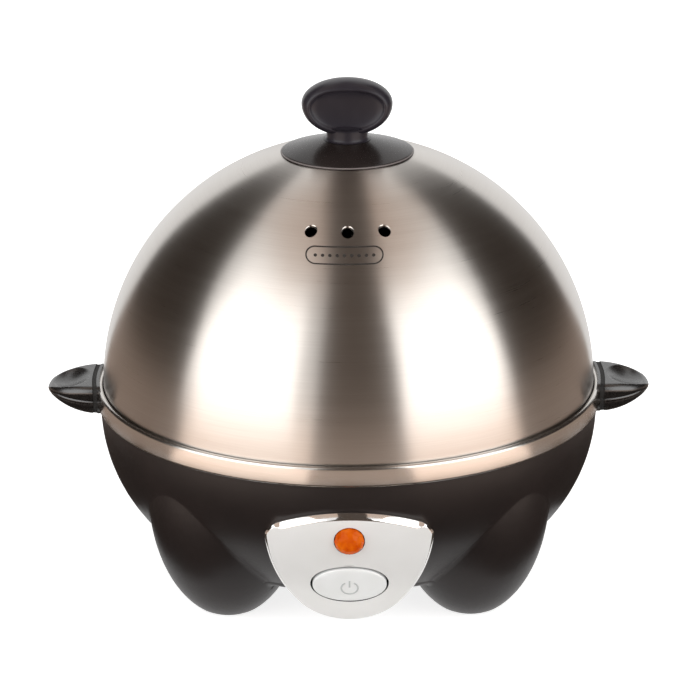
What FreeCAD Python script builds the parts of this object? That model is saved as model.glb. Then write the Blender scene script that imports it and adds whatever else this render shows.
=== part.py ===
import FreeCAD, Part
import Sketcher
import math
import operator
import os
from FreeCAD import Placement, Rotation, Vector

# An electric egg cooker for a kitchen table, in millimetres. The Z axis is the axis of the
# domed lid, the floor is at zero, and the control panel faces -Y.

driving_sizes = {
    # Lid: half a sphere of thin steel that ends in a short straight skirt
    "lid_radius": 81.0,
    "lid_wall": 0.8,
    "lid_skirt": 1.8,
    "rim_height": 64.0,
    "vent_radius": 2.0,
    "vent_reach": 47.3,
    "vent_angle": 14.0,
    # Disc and knob on top of the lid
    "disc_radius": 21.0,
    "disc_edge": 0.9,
    "disc_bevel": 0.5,
    "disc_crown": 0.9,
    "disc_gap": 0.1,
    "neck_radius": 6.6,
    "neck_foot_radius": 8.4,
    "neck_foot_rise": 1.8,
    "neck_height": 5.5,
    "knob_height": 21.1,
    "knob_middle": 12.5,
    "knob_half_width": 14.7,
    "knob_thickness": 12.0,
    "knob_round": 3.0,
    "recess_depth": 2.0,
    "recess_half_width": 11.7,
    "recess_half_height": 6.0,
    "knob_screw_radius": 1.9,
    "knob_screw_depth": 9.0,
    "knob_screw_head_radius": 3.5,
    "knob_screw_head_height": 2.0,
    "knob_hole_gap": 1.0,
    "washer_radius": 6.0,
    "washer_thickness": 1.0,
    # Steel band round the rim, with the ledge that carries the lid and the rack
    "lid_gap": 0.5,
    "band_wall": 0.8,
    "band_lip": 0.2,
    "band_height": 5.4,
    "ledge_width": 11.5,
    # Bowl-shaped base shell
    "bowl_step": 0.5,
    "bowl_arc_reach": 29.2,
    "bowl_arc_drop": 7.2,
    "bowl_bottom": 13.0,
    "corner_rise": 2.5,
    "corner_run": 4.0,
    "shell_wall": 2.5,
    "spigot_gap": 0.2,
    "spigot_width": 5.5,
    # Four swelling legs
    "leg_inset": 26.5,
    "leg_radius": 25.5,
    "leg_half_height": 42.1,
    "leg_sole_drop": 2.6,
    "leg_crease": 2.2,
    "leg_floor": 3.0,
    "foot_pad_radius": 8.5,
    "foot_pad_height": 0.8,
    "foot_plug_radius": 2.5,
    # Heating dish, its seal, and the screws that clamp it under the ledge
    "seal_thickness": 1.0,
    "seal_inset": 0.5,
    "dish_wall": 0.8,
    "dish_gap": 0.3,
    "dish_taper": 6.5,
    "dish_corner": 4.0,
    "rim_screw_inset": 3.0,
    "rim_screw_radius": 1.3,
    "rim_screw_length": 10.0,
    "rim_screw_head_radius": 2.5,
    "rim_screw_head_height": 0.9,
    "rim_boss_radius": 3.2,
    "rim_boss_height": 6.0,
    # Heater under the dish
    "heater_room": 26.5,
    "spreader_inset": 13.5,
    "spreader_thickness": 3.0,
    "heater_inset": 12.0,
    "heater_radius": 3.2,
    "heater_drop": 1.6,
    "heater_turn": 300.0,
    "heater_gap": 0.1,
    "heater_pin_radius": 1.2,
    "heater_pin_length": 8.0,
    "thermostat_radius": 8.5,
    "thermostat_height": 9.2,
    "thermostat_flange": 0.8,
    "thermostat_flange_half_length": 15.0,
    "thermostat_flange_half_width": 4.5,
    "thermostat_screw_reach": 11.9,
    "thermostat_screw_radius": 1.4,
    "thermostat_screw_length": 2.0,
    "thermostat_screw_head_radius": 2.4,
    "thermostat_screw_head_height": 1.8,
    "blade_half_width": 3.1,
    "blade_thickness": 0.8,
    "blade_length": 7.0,
    "blade_offset": 4.5,
    "fuse_radius": 2.0,
    "fuse_length": 14.0,
    "fuse_clip_wall": 0.6,
    "fuse_clip_width": 6.0,
    "fuse_clip_foot": 5.0,
    # Cover over the access hole in the bottom
    "access_inset": 29.5,
    "cover_overlap": 5.5,
    "cover_thickness": 2.0,
    "cover_spigot_height": 1.5,
    "cover_spigot_wall": 2.0,
    "cover_gap": 0.4,
    "cover_screw_offset": 2.8,
    "cover_screw_radius": 1.4,
    "cover_screw_length": 6.0,
    "cover_screw_head_radius": 2.4,
    "cover_screw_head_height": 1.2,
    "cover_boss_radius": 2.8,
    "cover_boss_height": 5.0,
    "cover_slot_half_width": 1.2,
    # Side handles, each on a tang that a screw holds under the shelf
    "handle_root_depth": 2.3,
    "handle_length": 17.2,
    "handle_half_width": 12.9,
    "handle_rise": 2.1,
    "handle_hang": 5.2,
    "handle_tip_drop": 2.9,
    "handle_tip_thickness": 1.6,
    "handle_middle_length": 9.2,
    "handle_middle_lift": 2.3,
    "handle_middle_drop": 1.0,
    "handle_gap": 0.2,
    "thumb_half_length": 6.2,
    "thumb_half_width": 8.6,
    "thumb_depth": 1.4,
    "tang_half_width": 6.0,
    "tang_height": 2.8,
    "tang_overlap": 2.0,
    "tang_gap": 0.1,
    "handle_screw_inset": 3.7,
    "handle_screw_radius": 1.2,
    "handle_screw_head_radius": 2.0,
    "handle_screw_head_height": 1.3,
    "tang_end": 3.3,
    # Control panel: a shield whose face bulges out like the bowl behind it
    "face_stand": 2.4,
    "face_arc_reach": 7.5,
    "face_arc_drop": 11.2,
    "panel_wall": 2.2,
    "panel_rim": 1.8,
    "panel_depth": 10.0,
    "panel_boss_length": 6.3,
    "panel_gap": 0.2,
    "panel_drop": 14.1,
    "panel_bottom": 7.9,
    "shoulder_half_width": 21.5,
    "panel_half_width": 26.45,
    "waist_half_width": 22.85,
    "chin_half_width": 16.1,
    "panel_screw_offset": 16.4,
    "panel_screw_radius": 1.25,
    "panel_screw_head_radius": 2.6,
    "panel_screw_head_height": 1.8,
    "panel_boss_radius": 3.4,
    # Push button, switch and bracket, all square to the panel's face at the button
    "button_half_width": 11.85,
    "button_half_height": 7.35,
    "button_gap": 0.45,
    "button_thickness": 1.7,
    "button_rise": 0.4,
    "button_stem_radius": 2.5,
    "stem_gap": 0.7,
    "button_travel": 1.5,
    "switch_seat_depth": 14.2,
    "bracket_thickness": 1.2,
    "bracket_half_length": 19.8,
    "bracket_half_width": 5.8,
    "bushing_radius": 4.2,
    "switch_half_width": 7.0,
    "switch_half_height": 6.0,
    "switch_depth": 9.3,
    "plunger_radius": 2.0,
    "plunger_front": 0.6,
    "plunger_length": 5.6,
    "switch_blade_offset": 4.0,
    # Indicator lamp, square to the panel's face at the lens
    "lens_radius": 4.7,
    "lens_crown": 2.6,
    "lens_edge": 0.2,
    "lens_flat_radius": 1.0,
    "lamp_tube_radius": 4.2,
    "lamp_tube_wall": 1.0,
    "lamp_tube_length": 14.7,
    "lamp_flange_radius": 6.5,
    "lamp_flange_depth": 7.7,
    "lamp_flange_thickness": 1.4,
    "neon_radius": 2.6,
    "neon_tip_radius": 0.6,
    "neon_length": 11.0,
    "neon_depth": 4.0,
    # Cord gland at the back
    "gland_height": 30.0,
    "gland_seat_radius": 9.0,
    "gland_seat_rise": 0.8,
    "gland_seat_depth": 4.0,
    "gland_radius": 6.0,
    "gland_length": 9.0,
    "gland_bore_radius": 3.4,
    "gland_flange_radius": 8.0,
    "gland_flange_thickness": 2.5,
    "gland_nose_radius": 5.0,
    "gland_nose_length": 7.1,
    "gland_nut_radius": 8.6,
    "gland_nut_thickness": 3.0,
    # Terminal block on the floor inside
    "block_inset": 36.0,
    "block_half_length": 14.0,
    "block_half_width": 6.0,
    "block_height": 10.0,
    "terminal_pitch": 8.0,
    "terminal_radius": 1.6,
    "terminal_depth": 4.0,
    # Egg rack on the ledge, with two lugs to lift it by
    "rack_gap": 0.7,
    "rack_wall": 1.0,
    "rack_hem": 1.2,
    "rack_clearance": 0.3,
    "rack_margin": 13.5,
    "egg_web": 12.0,
    "steam_hole_radius": 2.2,
    "steam_hole_inset": 8.5,
    "lug_inset": 6.5,
    "lug_thickness": 1.2,
    "lug_half_width": 10.0,
    "lug_height": 20.0,
    "lug_shoulder": 12.0,
    "lug_hole_radius": 5.5,
    "lug_hole_height": 10.5,
    # Wires inside the base
    "lead_radius": 1.1,
    # Clearances of screws and of other round pieces in their holes, and how far cuts run past
    "screw_gap": 0.1,
    "fit_gap": 0.2,
    "overrun": 2.0,
}

# Shares of a rounded corner's run and rise where its arc has turned half way
corner_mid_run_share = 0.55
corner_mid_rise_share = 0.24
# Share of a quarter arc's radius that its middle lies inside the square corner
quarter_mid_share = 0.293
# Share of a circle's radius at 45 degrees
diagonal_share = math.sqrt(0.5)
# Outline of the knob's paddle, as shares of its half width and of its height over the neck
crown_width_share = 0.68
crown_height_share = 0.733
cheek_width_share = 0.8
cheek_height_share = 0.203

# Heights on the panel, as shares of its height from its bottom
shoulder_share = 0.902
widest_share = 0.726
waist_share = 0.448
chin_share = 0.186
button_share = 0.379
lamp_share = 0.779
# The cover's slots, as shares of the access hole's radius
slot_reach_share = 0.54
slot_length_share = 0.192
# The fuse's place between the axis and the heater
fuse_reach_share = 0.58

egg_angle = 30
leg_angle = 45
vent_turns = (-1, 0, 1)

doc = FreeCAD.newDocument("EggCooker")
sheet = doc.addObject("Spreadsheet::Sheet", "sizes")
for row, (name, number) in enumerate(driving_sizes.items(), start=1):
    sheet.set(f"A{row}", name)
    sheet.set(f"B{row}", str(number))
    sheet.setAlias(f"B{row}", name)
doc.recompute()

operations = {"+": operator.add, "-": operator.sub, "*": operator.mul, "/": operator.truediv}


class Size:
    # A length together with the spreadsheet formula that it is bound to
    def __init__(self, formula, value):
        self.formula = formula
        self.value = value

    def __add__(self, other):
        return combined(self, "+", other)

    def __sub__(self, other):
        return combined(self, "-", other)

    def __mul__(self, other):
        return combined(self, "*", other)

    def __truediv__(self, other):
        return combined(self, "/", other)

    def __neg__(self):
        return combined(zero, "-", self)


class Sizes:
    # The spreadsheet's cells by their names
    def __getattr__(self, name):
        return Size(f"sizes.{name}", float(sheet.get(name)))


def plain(number):
    return Size(str(number), number)


def combined(first, sign, second):
    other = second if isinstance(second, Size) else plain(second)
    return Size(f"({first.formula} {sign} {other.formula})", operations[sign](first.value, other.value))


zero = plain(0)
size = Sizes()


def root(square):
    return Size(f"sqrt({square.formula})", math.sqrt(square.value))


def arc_sine(ratio):
    return Size(f"(asin({ratio.formula}) / 1 deg)", math.degrees(math.asin(ratio.value)))


def circle_reach(radius, rise):
    # How far a circle of this radius lies from its centre line at this rise
    return root(radius * radius - rise * rise)


def at(x, y):
    return x, y, False


def via(x, y):
    # The middle of an arc between the corners before and after it
    return x, y, True


def pin(sketch, geometry, vertex, x, y):
    for kind, length in (("DistanceX", x), ("DistanceY", y)):
        rule = Sketcher.Constraint(kind, -1, 1, geometry, vertex, length.value)
        number = sketch.addConstraint(rule)
        sketch.setExpression(f"Constraints[{number}]", length.formula)


def new_body(name):
    body = doc.addObject("PartDesign::Body", name)
    body.Label = name
    return body


def new_sketch(body, plane, level):
    sketch = body.newObject("Sketcher::SketchObject", f"{body.Name}_sketch")
    for origin_plane in body.Origin.OriginFeatures:
        if origin_plane.Role == plane:
            sketch.AttachmentSupport = [(origin_plane, "")]
    sketch.MapMode = "FlatFace"
    sketch.setExpression(".AttachmentOffset.Base.z", level.formula)
    return sketch


def draw_outline(body, plane, points, level=zero):
    sketch = new_sketch(body, plane, level)
    ends = []
    for index, (x, y, middle) in enumerate(points):
        if middle:
            continue
        here = Vector(x.value, y.value)
        after_x, after_y, turns = points[(index + 1) % len(points)]
        if turns:
            end_x, end_y, unused = points[(index + 2) % len(points)]
            middle_point = Vector(after_x.value, after_y.value)
            arc = Part.Arc(here, middle_point, Vector(end_x.value, end_y.value))
            edge = sketch.addGeometry(arc)
            mark = sketch.addGeometry(Part.Point(middle_point), True)
            pin(sketch, mark, 1, after_x, after_y)
            sketch.addConstraint(Sketcher.Constraint("PointOnObject", mark, 1, edge))
        else:
            edge = sketch.addGeometry(Part.LineSegment(here, Vector(after_x.value, after_y.value)))
        first = sketch.getPoint(edge, 1)
        second = sketch.getPoint(edge, 2)
        starts_first = first.distanceToPoint(here) <= second.distanceToPoint(here)
        start, end = (1, 2) if starts_first else (2, 1)
        pin(sketch, edge, start, x, y)
        ends.append((edge, start, end))
    for number, (edge, start, end) in enumerate(ends):
        next_edge, next_start, unused = ends[(number + 1) % len(ends)]
        sketch.addConstraint(Sketcher.Constraint("Coincident", edge, end, next_edge, next_start))
    return sketch


def draw_circles(body, plane, circles, level=zero):
    sketch = new_sketch(body, plane, level)
    for x, y, radius in circles:
        circle = sketch.addGeometry(Part.Circle(Vector(x.value, y.value), Vector(0, 0, 1), radius.value))
        pin(sketch, circle, 3, x, y)
        number = sketch.addConstraint(Sketcher.Constraint("Radius", circle, radius.value))
        sketch.setExpression(f"Constraints[{number}]", radius.formula)
    return sketch


def revolve(body, points, turn=None):
    sketch = draw_outline(body, "XZ_Plane", points)
    feature = body.newObject("PartDesign::Revolution", f"{body.Name}_turned")
    feature.Profile = sketch
    feature.ReferenceAxis = (sketch, ["V_Axis"])
    feature.Angle = turn.value if turn else 360
    if turn:
        feature.setExpression("Angle", turn.formula)
    return feature


def pad(body, sketch, length, both_ways=False):
    feature = body.newObject("PartDesign::Pad", f"{body.Name}_pad")
    feature.Profile = sketch
    feature.setExpression("Length", length.formula)
    if both_ways:
        feature.SideType = "Symmetric"
    return feature


def pierce(body, sketch):
    # A cut right through, both ways from the sketch
    feature = body.newObject("PartDesign::Pocket", f"{body.Name}_hole")
    feature.Profile = sketch
    feature.Type = "ThroughAll"
    feature.SideType = "Symmetric"
    return feature


def ring_of(body, features, count):
    pattern = body.newObject("PartDesign::PolarPattern", f"{body.Name}_ring")
    pattern.Originals = features
    pattern.Axis = (features[0].Profile[0], ["N_Axis"])
    pattern.Angle = 360
    pattern.Occurrences = count
    body.Tip = pattern
    return pattern


def stepped_pins(name, reach, count, steps):
    # A ring of equal upright pins, each a stack of discs (radius, bottom, top)
    body = new_body(name)
    features = []
    for radius, bottom, top in steps:
        sketch = draw_circles(body, "XY_Plane", [(reach, zero, radius)], bottom)
        features.append(pad(body, sketch, top - bottom))
    ring_of(body, features, count)
    return body


def put(item, x=zero, y=zero, z=zero, axis=Vector(0, 0, 1), angle=zero):
    item.Placement = Placement(Vector(x.value, y.value, z.value), Rotation(axis, angle.value))
    for path, length in (("Base.x", x), ("Base.y", y), ("Base.z", z), ("Rotation.Angle", angle)):
        item.setExpression(f".Placement.{path}", length.formula)
    return item


def turn_by(item, angle):
    item.Placement = Placement(Vector(), Rotation(Vector(0, 0, 1), angle))
    return item


def primitive(kind, name, **lengths):
    item = doc.addObject(f"Part::{kind}", name)
    for field, length in lengths.items():
        item.setExpression(field, length.formula)
    return item


def box(name, half_x, half_y, height, x, y, z):
    item = primitive("Box", name, Length=half_x * 2, Width=half_y * 2, Height=height)
    return put(item, x - half_x, y - half_y, z)


def oval_prism(name, half_width, half_height, above, below=zero):
    oval = primitive("Ellipse", f"{name}_oval", MajorRadius=half_width, MinorRadius=half_height)
    prism = doc.addObject("Part::Extrusion", name)
    prism.Base = oval
    prism.Dir = Vector(0, 0, 1)
    prism.Solid = True
    prism.setExpression("LengthFwd", above.formula)
    prism.setExpression("LengthRev", below.formula)
    return prism


def fused(name, pieces):
    item = doc.addObject("Part::MultiFuse", name)
    item.Shapes = pieces
    return item


def cut(name, base, tool):
    item = doc.addObject("Part::Cut", name)
    item.Base = base
    item.Tool = tool
    return item


def common(name, base, tool):
    item = doc.addObject("Part::Common", name)
    item.Base = base
    item.Tool = tool
    return item


def grouped(name, pieces):
    item = doc.addObject("Part::Compound", name)
    item.Links = pieces
    return item


# Heights and radii that several pieces share
lid_top = size.rim_height + size.lid_radius
ledge_top = size.rim_height - size.lid_skirt
ledge_bottom = ledge_top - size.band_wall
lip_radius = size.lid_radius + size.lid_gap
band_radius = lip_radius + size.band_wall
band_top = size.rim_height + size.band_lip
band_bottom = band_top - size.band_height
ledge_inner_radius = lip_radius - size.ledge_width
bowl_radius = lip_radius + size.bowl_step
bowl_arc = bowl_radius - size.bowl_arc_reach
bowl_arc_height = size.rim_height - size.bowl_arc_drop
floor_inside = size.bowl_bottom + size.shell_wall
leg_reach = bowl_radius - size.leg_inset
foot_inside = size.foot_pad_height + size.leg_floor
dish_flange_bottom = ledge_bottom - size.dish_wall
shelf_top = dish_flange_bottom - size.seal_thickness
shelf_bottom = shelf_top - size.shell_wall
spigot_radius = lip_radius - size.spigot_gap
spigot_inner_radius = spigot_radius - size.spigot_width
dish_flange_radius = spigot_inner_radius - size.dish_gap
dish_mouth_radius = ledge_inner_radius
dish_base_radius = dish_mouth_radius - size.dish_taper
dish_floor_height = floor_inside + size.heater_room
shelf_hole_radius = dish_mouth_radius + size.seal_inset
rim_screw_reach = ledge_inner_radius + size.rim_screw_inset
spreader_radius = dish_base_radius - size.spreader_inset
spreader_bottom = dish_floor_height - size.spreader_thickness
heater_reach = spreader_radius - size.heater_inset
heater_height = spreader_bottom - size.heater_drop
access_radius = leg_reach - size.access_inset
cover_radius = access_radius + size.cover_overlap
cover_screw_reach = access_radius + size.cover_screw_offset
handle_screw_reach = band_radius - size.handle_screw_inset
face_reach = bowl_radius + size.face_stand
face_arc = face_reach - size.face_arc_reach
face_arc_height = size.rim_height - size.face_arc_drop
panel_top = size.rim_height - size.panel_drop
panel_height = panel_top - size.panel_bottom
button_height = size.panel_bottom + panel_height * button_share
lamp_height = size.panel_bottom + panel_height * lamp_share
block_reach = bowl_radius - size.block_inset
rack_radius = size.lid_radius - size.lid_wall - size.rack_gap
disc_top = lid_top + size.disc_crown


def dome_height(reach, lift):
    # Height of the dome's outside, lifted square to itself, at this distance from the axis
    return size.rim_height + circle_reach(size.lid_radius + lift, reach)


def bowl_reach(height, shift=zero):
    # Radius of the bowl at this height, with its wall shifted outwards
    return size.bowl_arc_reach + circle_reach(bowl_arc + shift, height - bowl_arc_height)


def face_radius(height, shift=zero):
    # Radius of the panel's face at this height, with the face shifted outwards
    return size.face_arc_reach + circle_reach(face_arc + shift, height - face_arc_height)


def bowl_points(shift, top):
    # The bowl's outline from the middle of its bottom up to this height
    bottom = size.bowl_bottom - shift
    corner_top = bottom + size.corner_rise
    corner_reach = bowl_reach(corner_top, shift)
    corner_start = corner_reach - size.corner_run
    middle = (corner_top + top) / 2
    return [
        at(zero, bottom),
        at(corner_start, bottom),
        via(
            corner_start + size.corner_run * corner_mid_run_share,
            bottom + size.corner_rise * corner_mid_rise_share,
        ),
        at(corner_reach, corner_top),
        via(bowl_reach(middle, shift), middle),
        at(bowl_reach(top, shift), top),
    ]


# Directions square to the panel's face and to the bowl's back
button_tilt = arc_sine((face_arc_height - button_height) / face_arc)
lamp_tilt = arc_sine((face_arc_height - lamp_height) / face_arc)
gland_tilt = arc_sine((bowl_arc_height - size.gland_height) / bowl_arc)


def square_to_button(item):
    # The piece's own Z axis points out of the panel at the button, from the face
    reach = -face_radius(button_height)
    return put(item, y=reach, z=button_height, axis=Vector(1, 0, 0), angle=button_tilt + 90)


def square_to_lamp(item):
    reach = -face_radius(lamp_height)
    return put(item, y=reach, z=lamp_height, axis=Vector(1, 0, 0), angle=lamp_tilt + 90)


def square_to_gland(item):
    reach = bowl_reach(size.gland_height)
    return put(item, y=reach, z=size.gland_height, axis=Vector(-1, 0, 0), angle=gland_tilt + 90)


def leg(name, wall, bottom, top):
    # One swelling leg, thinner all round by this wall, between two heights
    slab = primitive("Cylinder", f"{name}_slab", Radius=size.lid_radius * 2, Height=top - bottom)
    put(slab, z=bottom)
    legs = []
    for turn in range(4):
        swell = primitive(
            "Ellipsoid",
            f"{name}_swell",
            Radius1=size.leg_half_height - wall,
            Radius2=size.leg_radius - wall,
            Radius3=size.leg_radius - wall,
        )
        spoke = leg_angle + 90 * turn
        reach_x = leg_reach * math.cos(math.radians(spoke))
        reach_y = leg_reach * math.sin(math.radians(spoke))
        # The surface's own seam faces the middle, inside the bowl
        middle = size.leg_half_height - size.leg_sole_drop
        put(swell, reach_x, reach_y, middle, angle=plain(spoke + 180))
        legs.append(common(f"{name}_{turn}", swell, slab))
    return legs


def make_shell_outside():
    bowl = new_body("bowl_outside")
    rim = [
        at(spigot_radius, band_bottom),
        at(spigot_radius, ledge_bottom),
        at(spigot_inner_radius, ledge_bottom),
        at(spigot_inner_radius, shelf_top),
        at(zero, shelf_top),
    ]
    revolve(bowl, bowl_points(zero, band_bottom) + rim)
    turn_by(bowl, 180)
    outside = fused("shell_outside", [bowl] + leg("leg", zero, size.foot_pad_height, band_bottom))
    doc.recompute()
    shape = outside.Shape
    creases = []
    for number, edge in enumerate(shape.Edges, start=1):
        faces = shape.ancestorsOfType(edge, Part.Face)
        kinds = {face.Surface.TypeId for face in faces}
        meets_leg = edge.Curve.TypeId == "Part::GeomBSplineCurve" and len(kinds) == 2
        if meets_leg and edge.BoundBox.ZMax > size.foot_pad_height.value + size.leg_floor.value:
            creases.append((number, size.leg_crease.value, size.leg_crease.value))
    rounded = doc.addObject("Part::Fillet", "shell_rounded")
    rounded.Base = outside
    rounded.Edges = creases
    return rounded


def make_shell_inside():
    cavity = new_body("bowl_inside")
    mouth = [
        at(shelf_hole_radius, shelf_bottom),
        at(shelf_hole_radius, shelf_top + size.overrun),
        at(zero, shelf_top + size.overrun),
    ]
    revolve(cavity, bowl_points(-size.shell_wall, shelf_bottom) + mouth)
    turn_by(cavity, 180)
    hollow_legs = leg("hollow_leg", size.shell_wall, foot_inside, shelf_bottom)
    access = primitive(
        "Cylinder", "access_hole", Radius=access_radius, Height=size.shell_wall + size.overrun * 2
    )
    put(access, z=size.bowl_bottom - size.overrun)
    return fused("shell_hollow", [cavity, access] + hollow_legs)


panel_boss_start = -(size.panel_wall + size.panel_boss_length)


def make_shell_bosses():
    rim_bosses = stepped_pins(
        "rim_bosses",
        rim_screw_reach,
        4,
        [(size.rim_boss_radius, shelf_bottom - size.rim_boss_height, shelf_top)],
    )
    turn_by(rim_bosses, leg_angle)
    cover_bosses = stepped_pins(
        "cover_bosses",
        cover_screw_reach,
        4,
        [(size.cover_boss_radius, size.bowl_bottom, floor_inside + size.cover_boss_height)],
    )
    switch_bosses = stepped_pins(
        "switch_bosses",
        size.panel_screw_offset,
        2,
        [(size.panel_boss_radius, -size.switch_seat_depth, panel_boss_start - size.panel_gap)],
    )
    square_to_button(switch_bosses)
    gland_boss = new_body("gland_boss")
    sketch = draw_circles(
        gland_boss, "XY_Plane", [(zero, zero, size.gland_seat_radius)], -size.gland_seat_depth
    )
    pad(gland_boss, sketch, size.gland_seat_depth + size.gland_seat_rise)
    square_to_gland(gland_boss)
    return [rim_bosses, cover_bosses, switch_bosses, gland_boss]


def make_shell_holes():
    rim_holes = stepped_pins(
        "rim_screw_holes",
        rim_screw_reach,
        4,
        [
            (
                size.rim_screw_radius + size.screw_gap,
                ledge_top - size.rim_screw_length - size.screw_gap,
                shelf_top + size.overrun,
            )
        ],
    )
    turn_by(rim_holes, leg_angle)
    cover_holes = stepped_pins(
        "cover_screw_holes",
        cover_screw_reach,
        4,
        [
            (
                size.cover_screw_radius + size.screw_gap,
                size.bowl_bottom - size.overrun,
                floor_inside + size.cover_boss_height + size.overrun,
            )
        ],
    )
    plug_holes = stepped_pins(
        "foot_plug_holes", leg_reach, 4, [(size.foot_plug_radius + size.screw_gap, zero, foot_inside)]
    )
    turn_by(plug_holes, leg_angle)
    handle_holes = stepped_pins(
        "handle_screw_holes",
        handle_screw_reach,
        2,
        [
            (size.handle_screw_radius + size.screw_gap, shelf_bottom - size.overrun, shelf_top),
            (
                size.handle_screw_head_radius + size.screw_gap * 3,
                shelf_top,
                ledge_bottom + size.overrun,
            ),
        ],
    )
    slots = []
    for side in (-1, 1):
        slots.append(
            box(
                f"tang_slot_{side + 1}",
                handle_screw_reach - dish_mouth_radius,
                size.tang_half_width + size.tang_gap,
                size.tang_height + size.tang_gap * 2,
                handle_screw_reach * side,
                zero,
                shelf_bottom - size.tang_height - size.tang_gap * 2,
            )
        )
    stem_hole = new_body("stem_hole")
    sketch = draw_circles(
        stem_hole,
        "XY_Plane",
        [
            (zero, zero, size.button_stem_radius + size.stem_gap),
            (size.panel_screw_offset, zero, size.panel_screw_radius + size.screw_gap),
            (-size.panel_screw_offset, zero, size.panel_screw_radius + size.screw_gap),
        ],
        -(size.switch_seat_depth + size.overrun),
    )
    pad(stem_hole, sketch, size.switch_seat_depth + size.overrun)
    square_to_button(stem_hole)
    lamp_hole = new_body("lamp_hole")
    sketch = draw_circles(
        lamp_hole,
        "XY_Plane",
        [(zero, zero, size.lamp_tube_radius + size.fit_gap)],
        -(size.lamp_flange_depth + size.overrun),
    )
    pad(lamp_hole, sketch, size.lamp_flange_depth + size.overrun)
    square_to_lamp(lamp_hole)
    gland_hole = new_body("gland_hole")
    sketch = draw_circles(
        gland_hole,
        "XY_Plane",
        [(zero, zero, size.gland_radius + size.fit_gap)],
        -(size.gland_seat_depth + size.overrun),
    )
    pad(gland_hole, sketch, size.gland_seat_depth + size.gland_seat_rise + size.overrun * 2)
    square_to_gland(gland_hole)
    return [rim_holes, cover_holes, plug_holes, handle_holes, stem_hole, lamp_hole, gland_hole] + slots


def make_base_shell():
    hollowed = cut("shell_hollowed", make_shell_outside(), make_shell_inside())
    with_bosses = fused("shell_with_bosses", [hollowed] + make_shell_bosses())
    return cut("base_shell", with_bosses, fused("shell_holes", make_shell_holes()))


def make_rim_band():
    body = new_body("rim_band")
    revolve(
        body,
        [
            at(lip_radius, band_bottom),
            at(band_radius, band_bottom),
            at(band_radius, band_top),
            at(lip_radius, band_top),
            at(lip_radius, ledge_top),
            at(ledge_inner_radius, ledge_top),
            at(ledge_inner_radius, ledge_bottom),
            at(lip_radius, ledge_bottom),
        ],
    )
    hole_radius = size.rim_screw_radius + size.screw_gap
    sketch = draw_circles(body, "XY_Plane", [(rim_screw_reach, zero, hole_radius)])
    ring_of(body, [pierce(body, sketch)], 4)
    return turn_by(body, leg_angle)


def make_rim_screws():
    body = stepped_pins(
        "rim_screws",
        rim_screw_reach,
        4,
        [
            (size.rim_screw_radius, ledge_top - size.rim_screw_length, ledge_top),
            (size.rim_screw_head_radius, ledge_top, ledge_top + size.rim_screw_head_height),
        ],
    )
    return turn_by(body, leg_angle)


def make_dish_seal():
    body = new_body("dish_seal")
    revolve(
        body,
        [
            at(shelf_hole_radius, shelf_top),
            at(dish_flange_radius, shelf_top),
            at(dish_flange_radius, dish_flange_bottom),
            at(shelf_hole_radius, dish_flange_bottom),
        ],
    )
    hole_radius = size.rim_screw_radius + size.screw_gap
    sketch = draw_circles(body, "XY_Plane", [(rim_screw_reach, zero, hole_radius)])
    ring_of(body, [pierce(body, sketch)], 4)
    return turn_by(body, leg_angle)


def make_heating_dish():
    body = new_body("heating_dish")
    floor = dish_floor_height
    wall = size.dish_wall
    bend = size.dish_corner
    inner_bend = bend - wall
    base_radius = dish_base_radius
    revolve(
        body,
        [
            at(zero, floor),
            at(base_radius - bend, floor),
            via(base_radius - bend * quarter_mid_share, floor + bend * quarter_mid_share),
            at(base_radius, floor + bend),
            at(dish_mouth_radius, dish_flange_bottom),
            at(dish_flange_radius, dish_flange_bottom),
            at(dish_flange_radius, ledge_bottom),
            at(dish_mouth_radius - wall, ledge_bottom),
            at(base_radius - wall, floor + bend),
            via(
                base_radius - wall - inner_bend * quarter_mid_share,
                floor + wall + inner_bend * quarter_mid_share,
            ),
            at(base_radius - bend, floor + wall),
            at(zero, floor + wall),
        ],
    )
    hole_radius = size.rim_screw_radius + size.screw_gap
    sketch = draw_circles(body, "XY_Plane", [(rim_screw_reach, zero, hole_radius)])
    ring_of(body, [pierce(body, sketch)], 4)
    return turn_by(body, leg_angle)


def make_heat_spreader():
    body = new_body("spreader_plate")
    groove = size.heater_radius + size.heater_gap
    half_mouth = circle_reach(groove, size.heater_drop)
    revolve(
        body,
        [
            at(zero, spreader_bottom),
            at(heater_reach - half_mouth, spreader_bottom),
            via(heater_reach, heater_height + groove),
            at(heater_reach + half_mouth, spreader_bottom),
            at(spreader_radius, spreader_bottom),
            at(spreader_radius, dish_floor_height),
            at(zero, dish_floor_height),
        ],
    )
    holes = stepped_pins(
        "spreader_holes",
        size.thermostat_screw_reach,
        2,
        [
            (
                size.thermostat_screw_radius + size.screw_gap,
                spreader_bottom - size.overrun,
                spreader_bottom + size.thermostat_screw_length + size.screw_gap,
            )
        ],
    )
    return cut("heat_spreader", body, holes)


def make_heater_element():
    body = new_body("heater_element")
    sketch = draw_circles(body, "XZ_Plane", [(heater_reach, heater_height, size.heater_radius)])
    feature = body.newObject("PartDesign::Revolution", "heater_turned")
    feature.Profile = sketch
    feature.ReferenceAxis = (sketch, ["V_Axis"])
    feature.setExpression("Angle", size.heater_turn.formula)
    # The gap between its ends faces the back
    return put(body, angle=-(size.heater_turn / 2) + 270)


def make_heater_terminals():
    # Two cold pins that leave the ends of the heater along its tube
    pins = []
    for end in (-1, 1):
        cold_pin = new_body(f"heater_pin_{end + 1}")
        sketch = draw_circles(
            cold_pin, "XZ_Plane", [(heater_reach, heater_height, size.heater_pin_radius)]
        )
        feature = pad(cold_pin, sketch, size.heater_pin_length)
        feature.Reversed = end > 0
        pins.append(put(cold_pin, angle=size.heater_turn * end / 2 + 270))
    return grouped("heater_terminals", pins)


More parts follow.
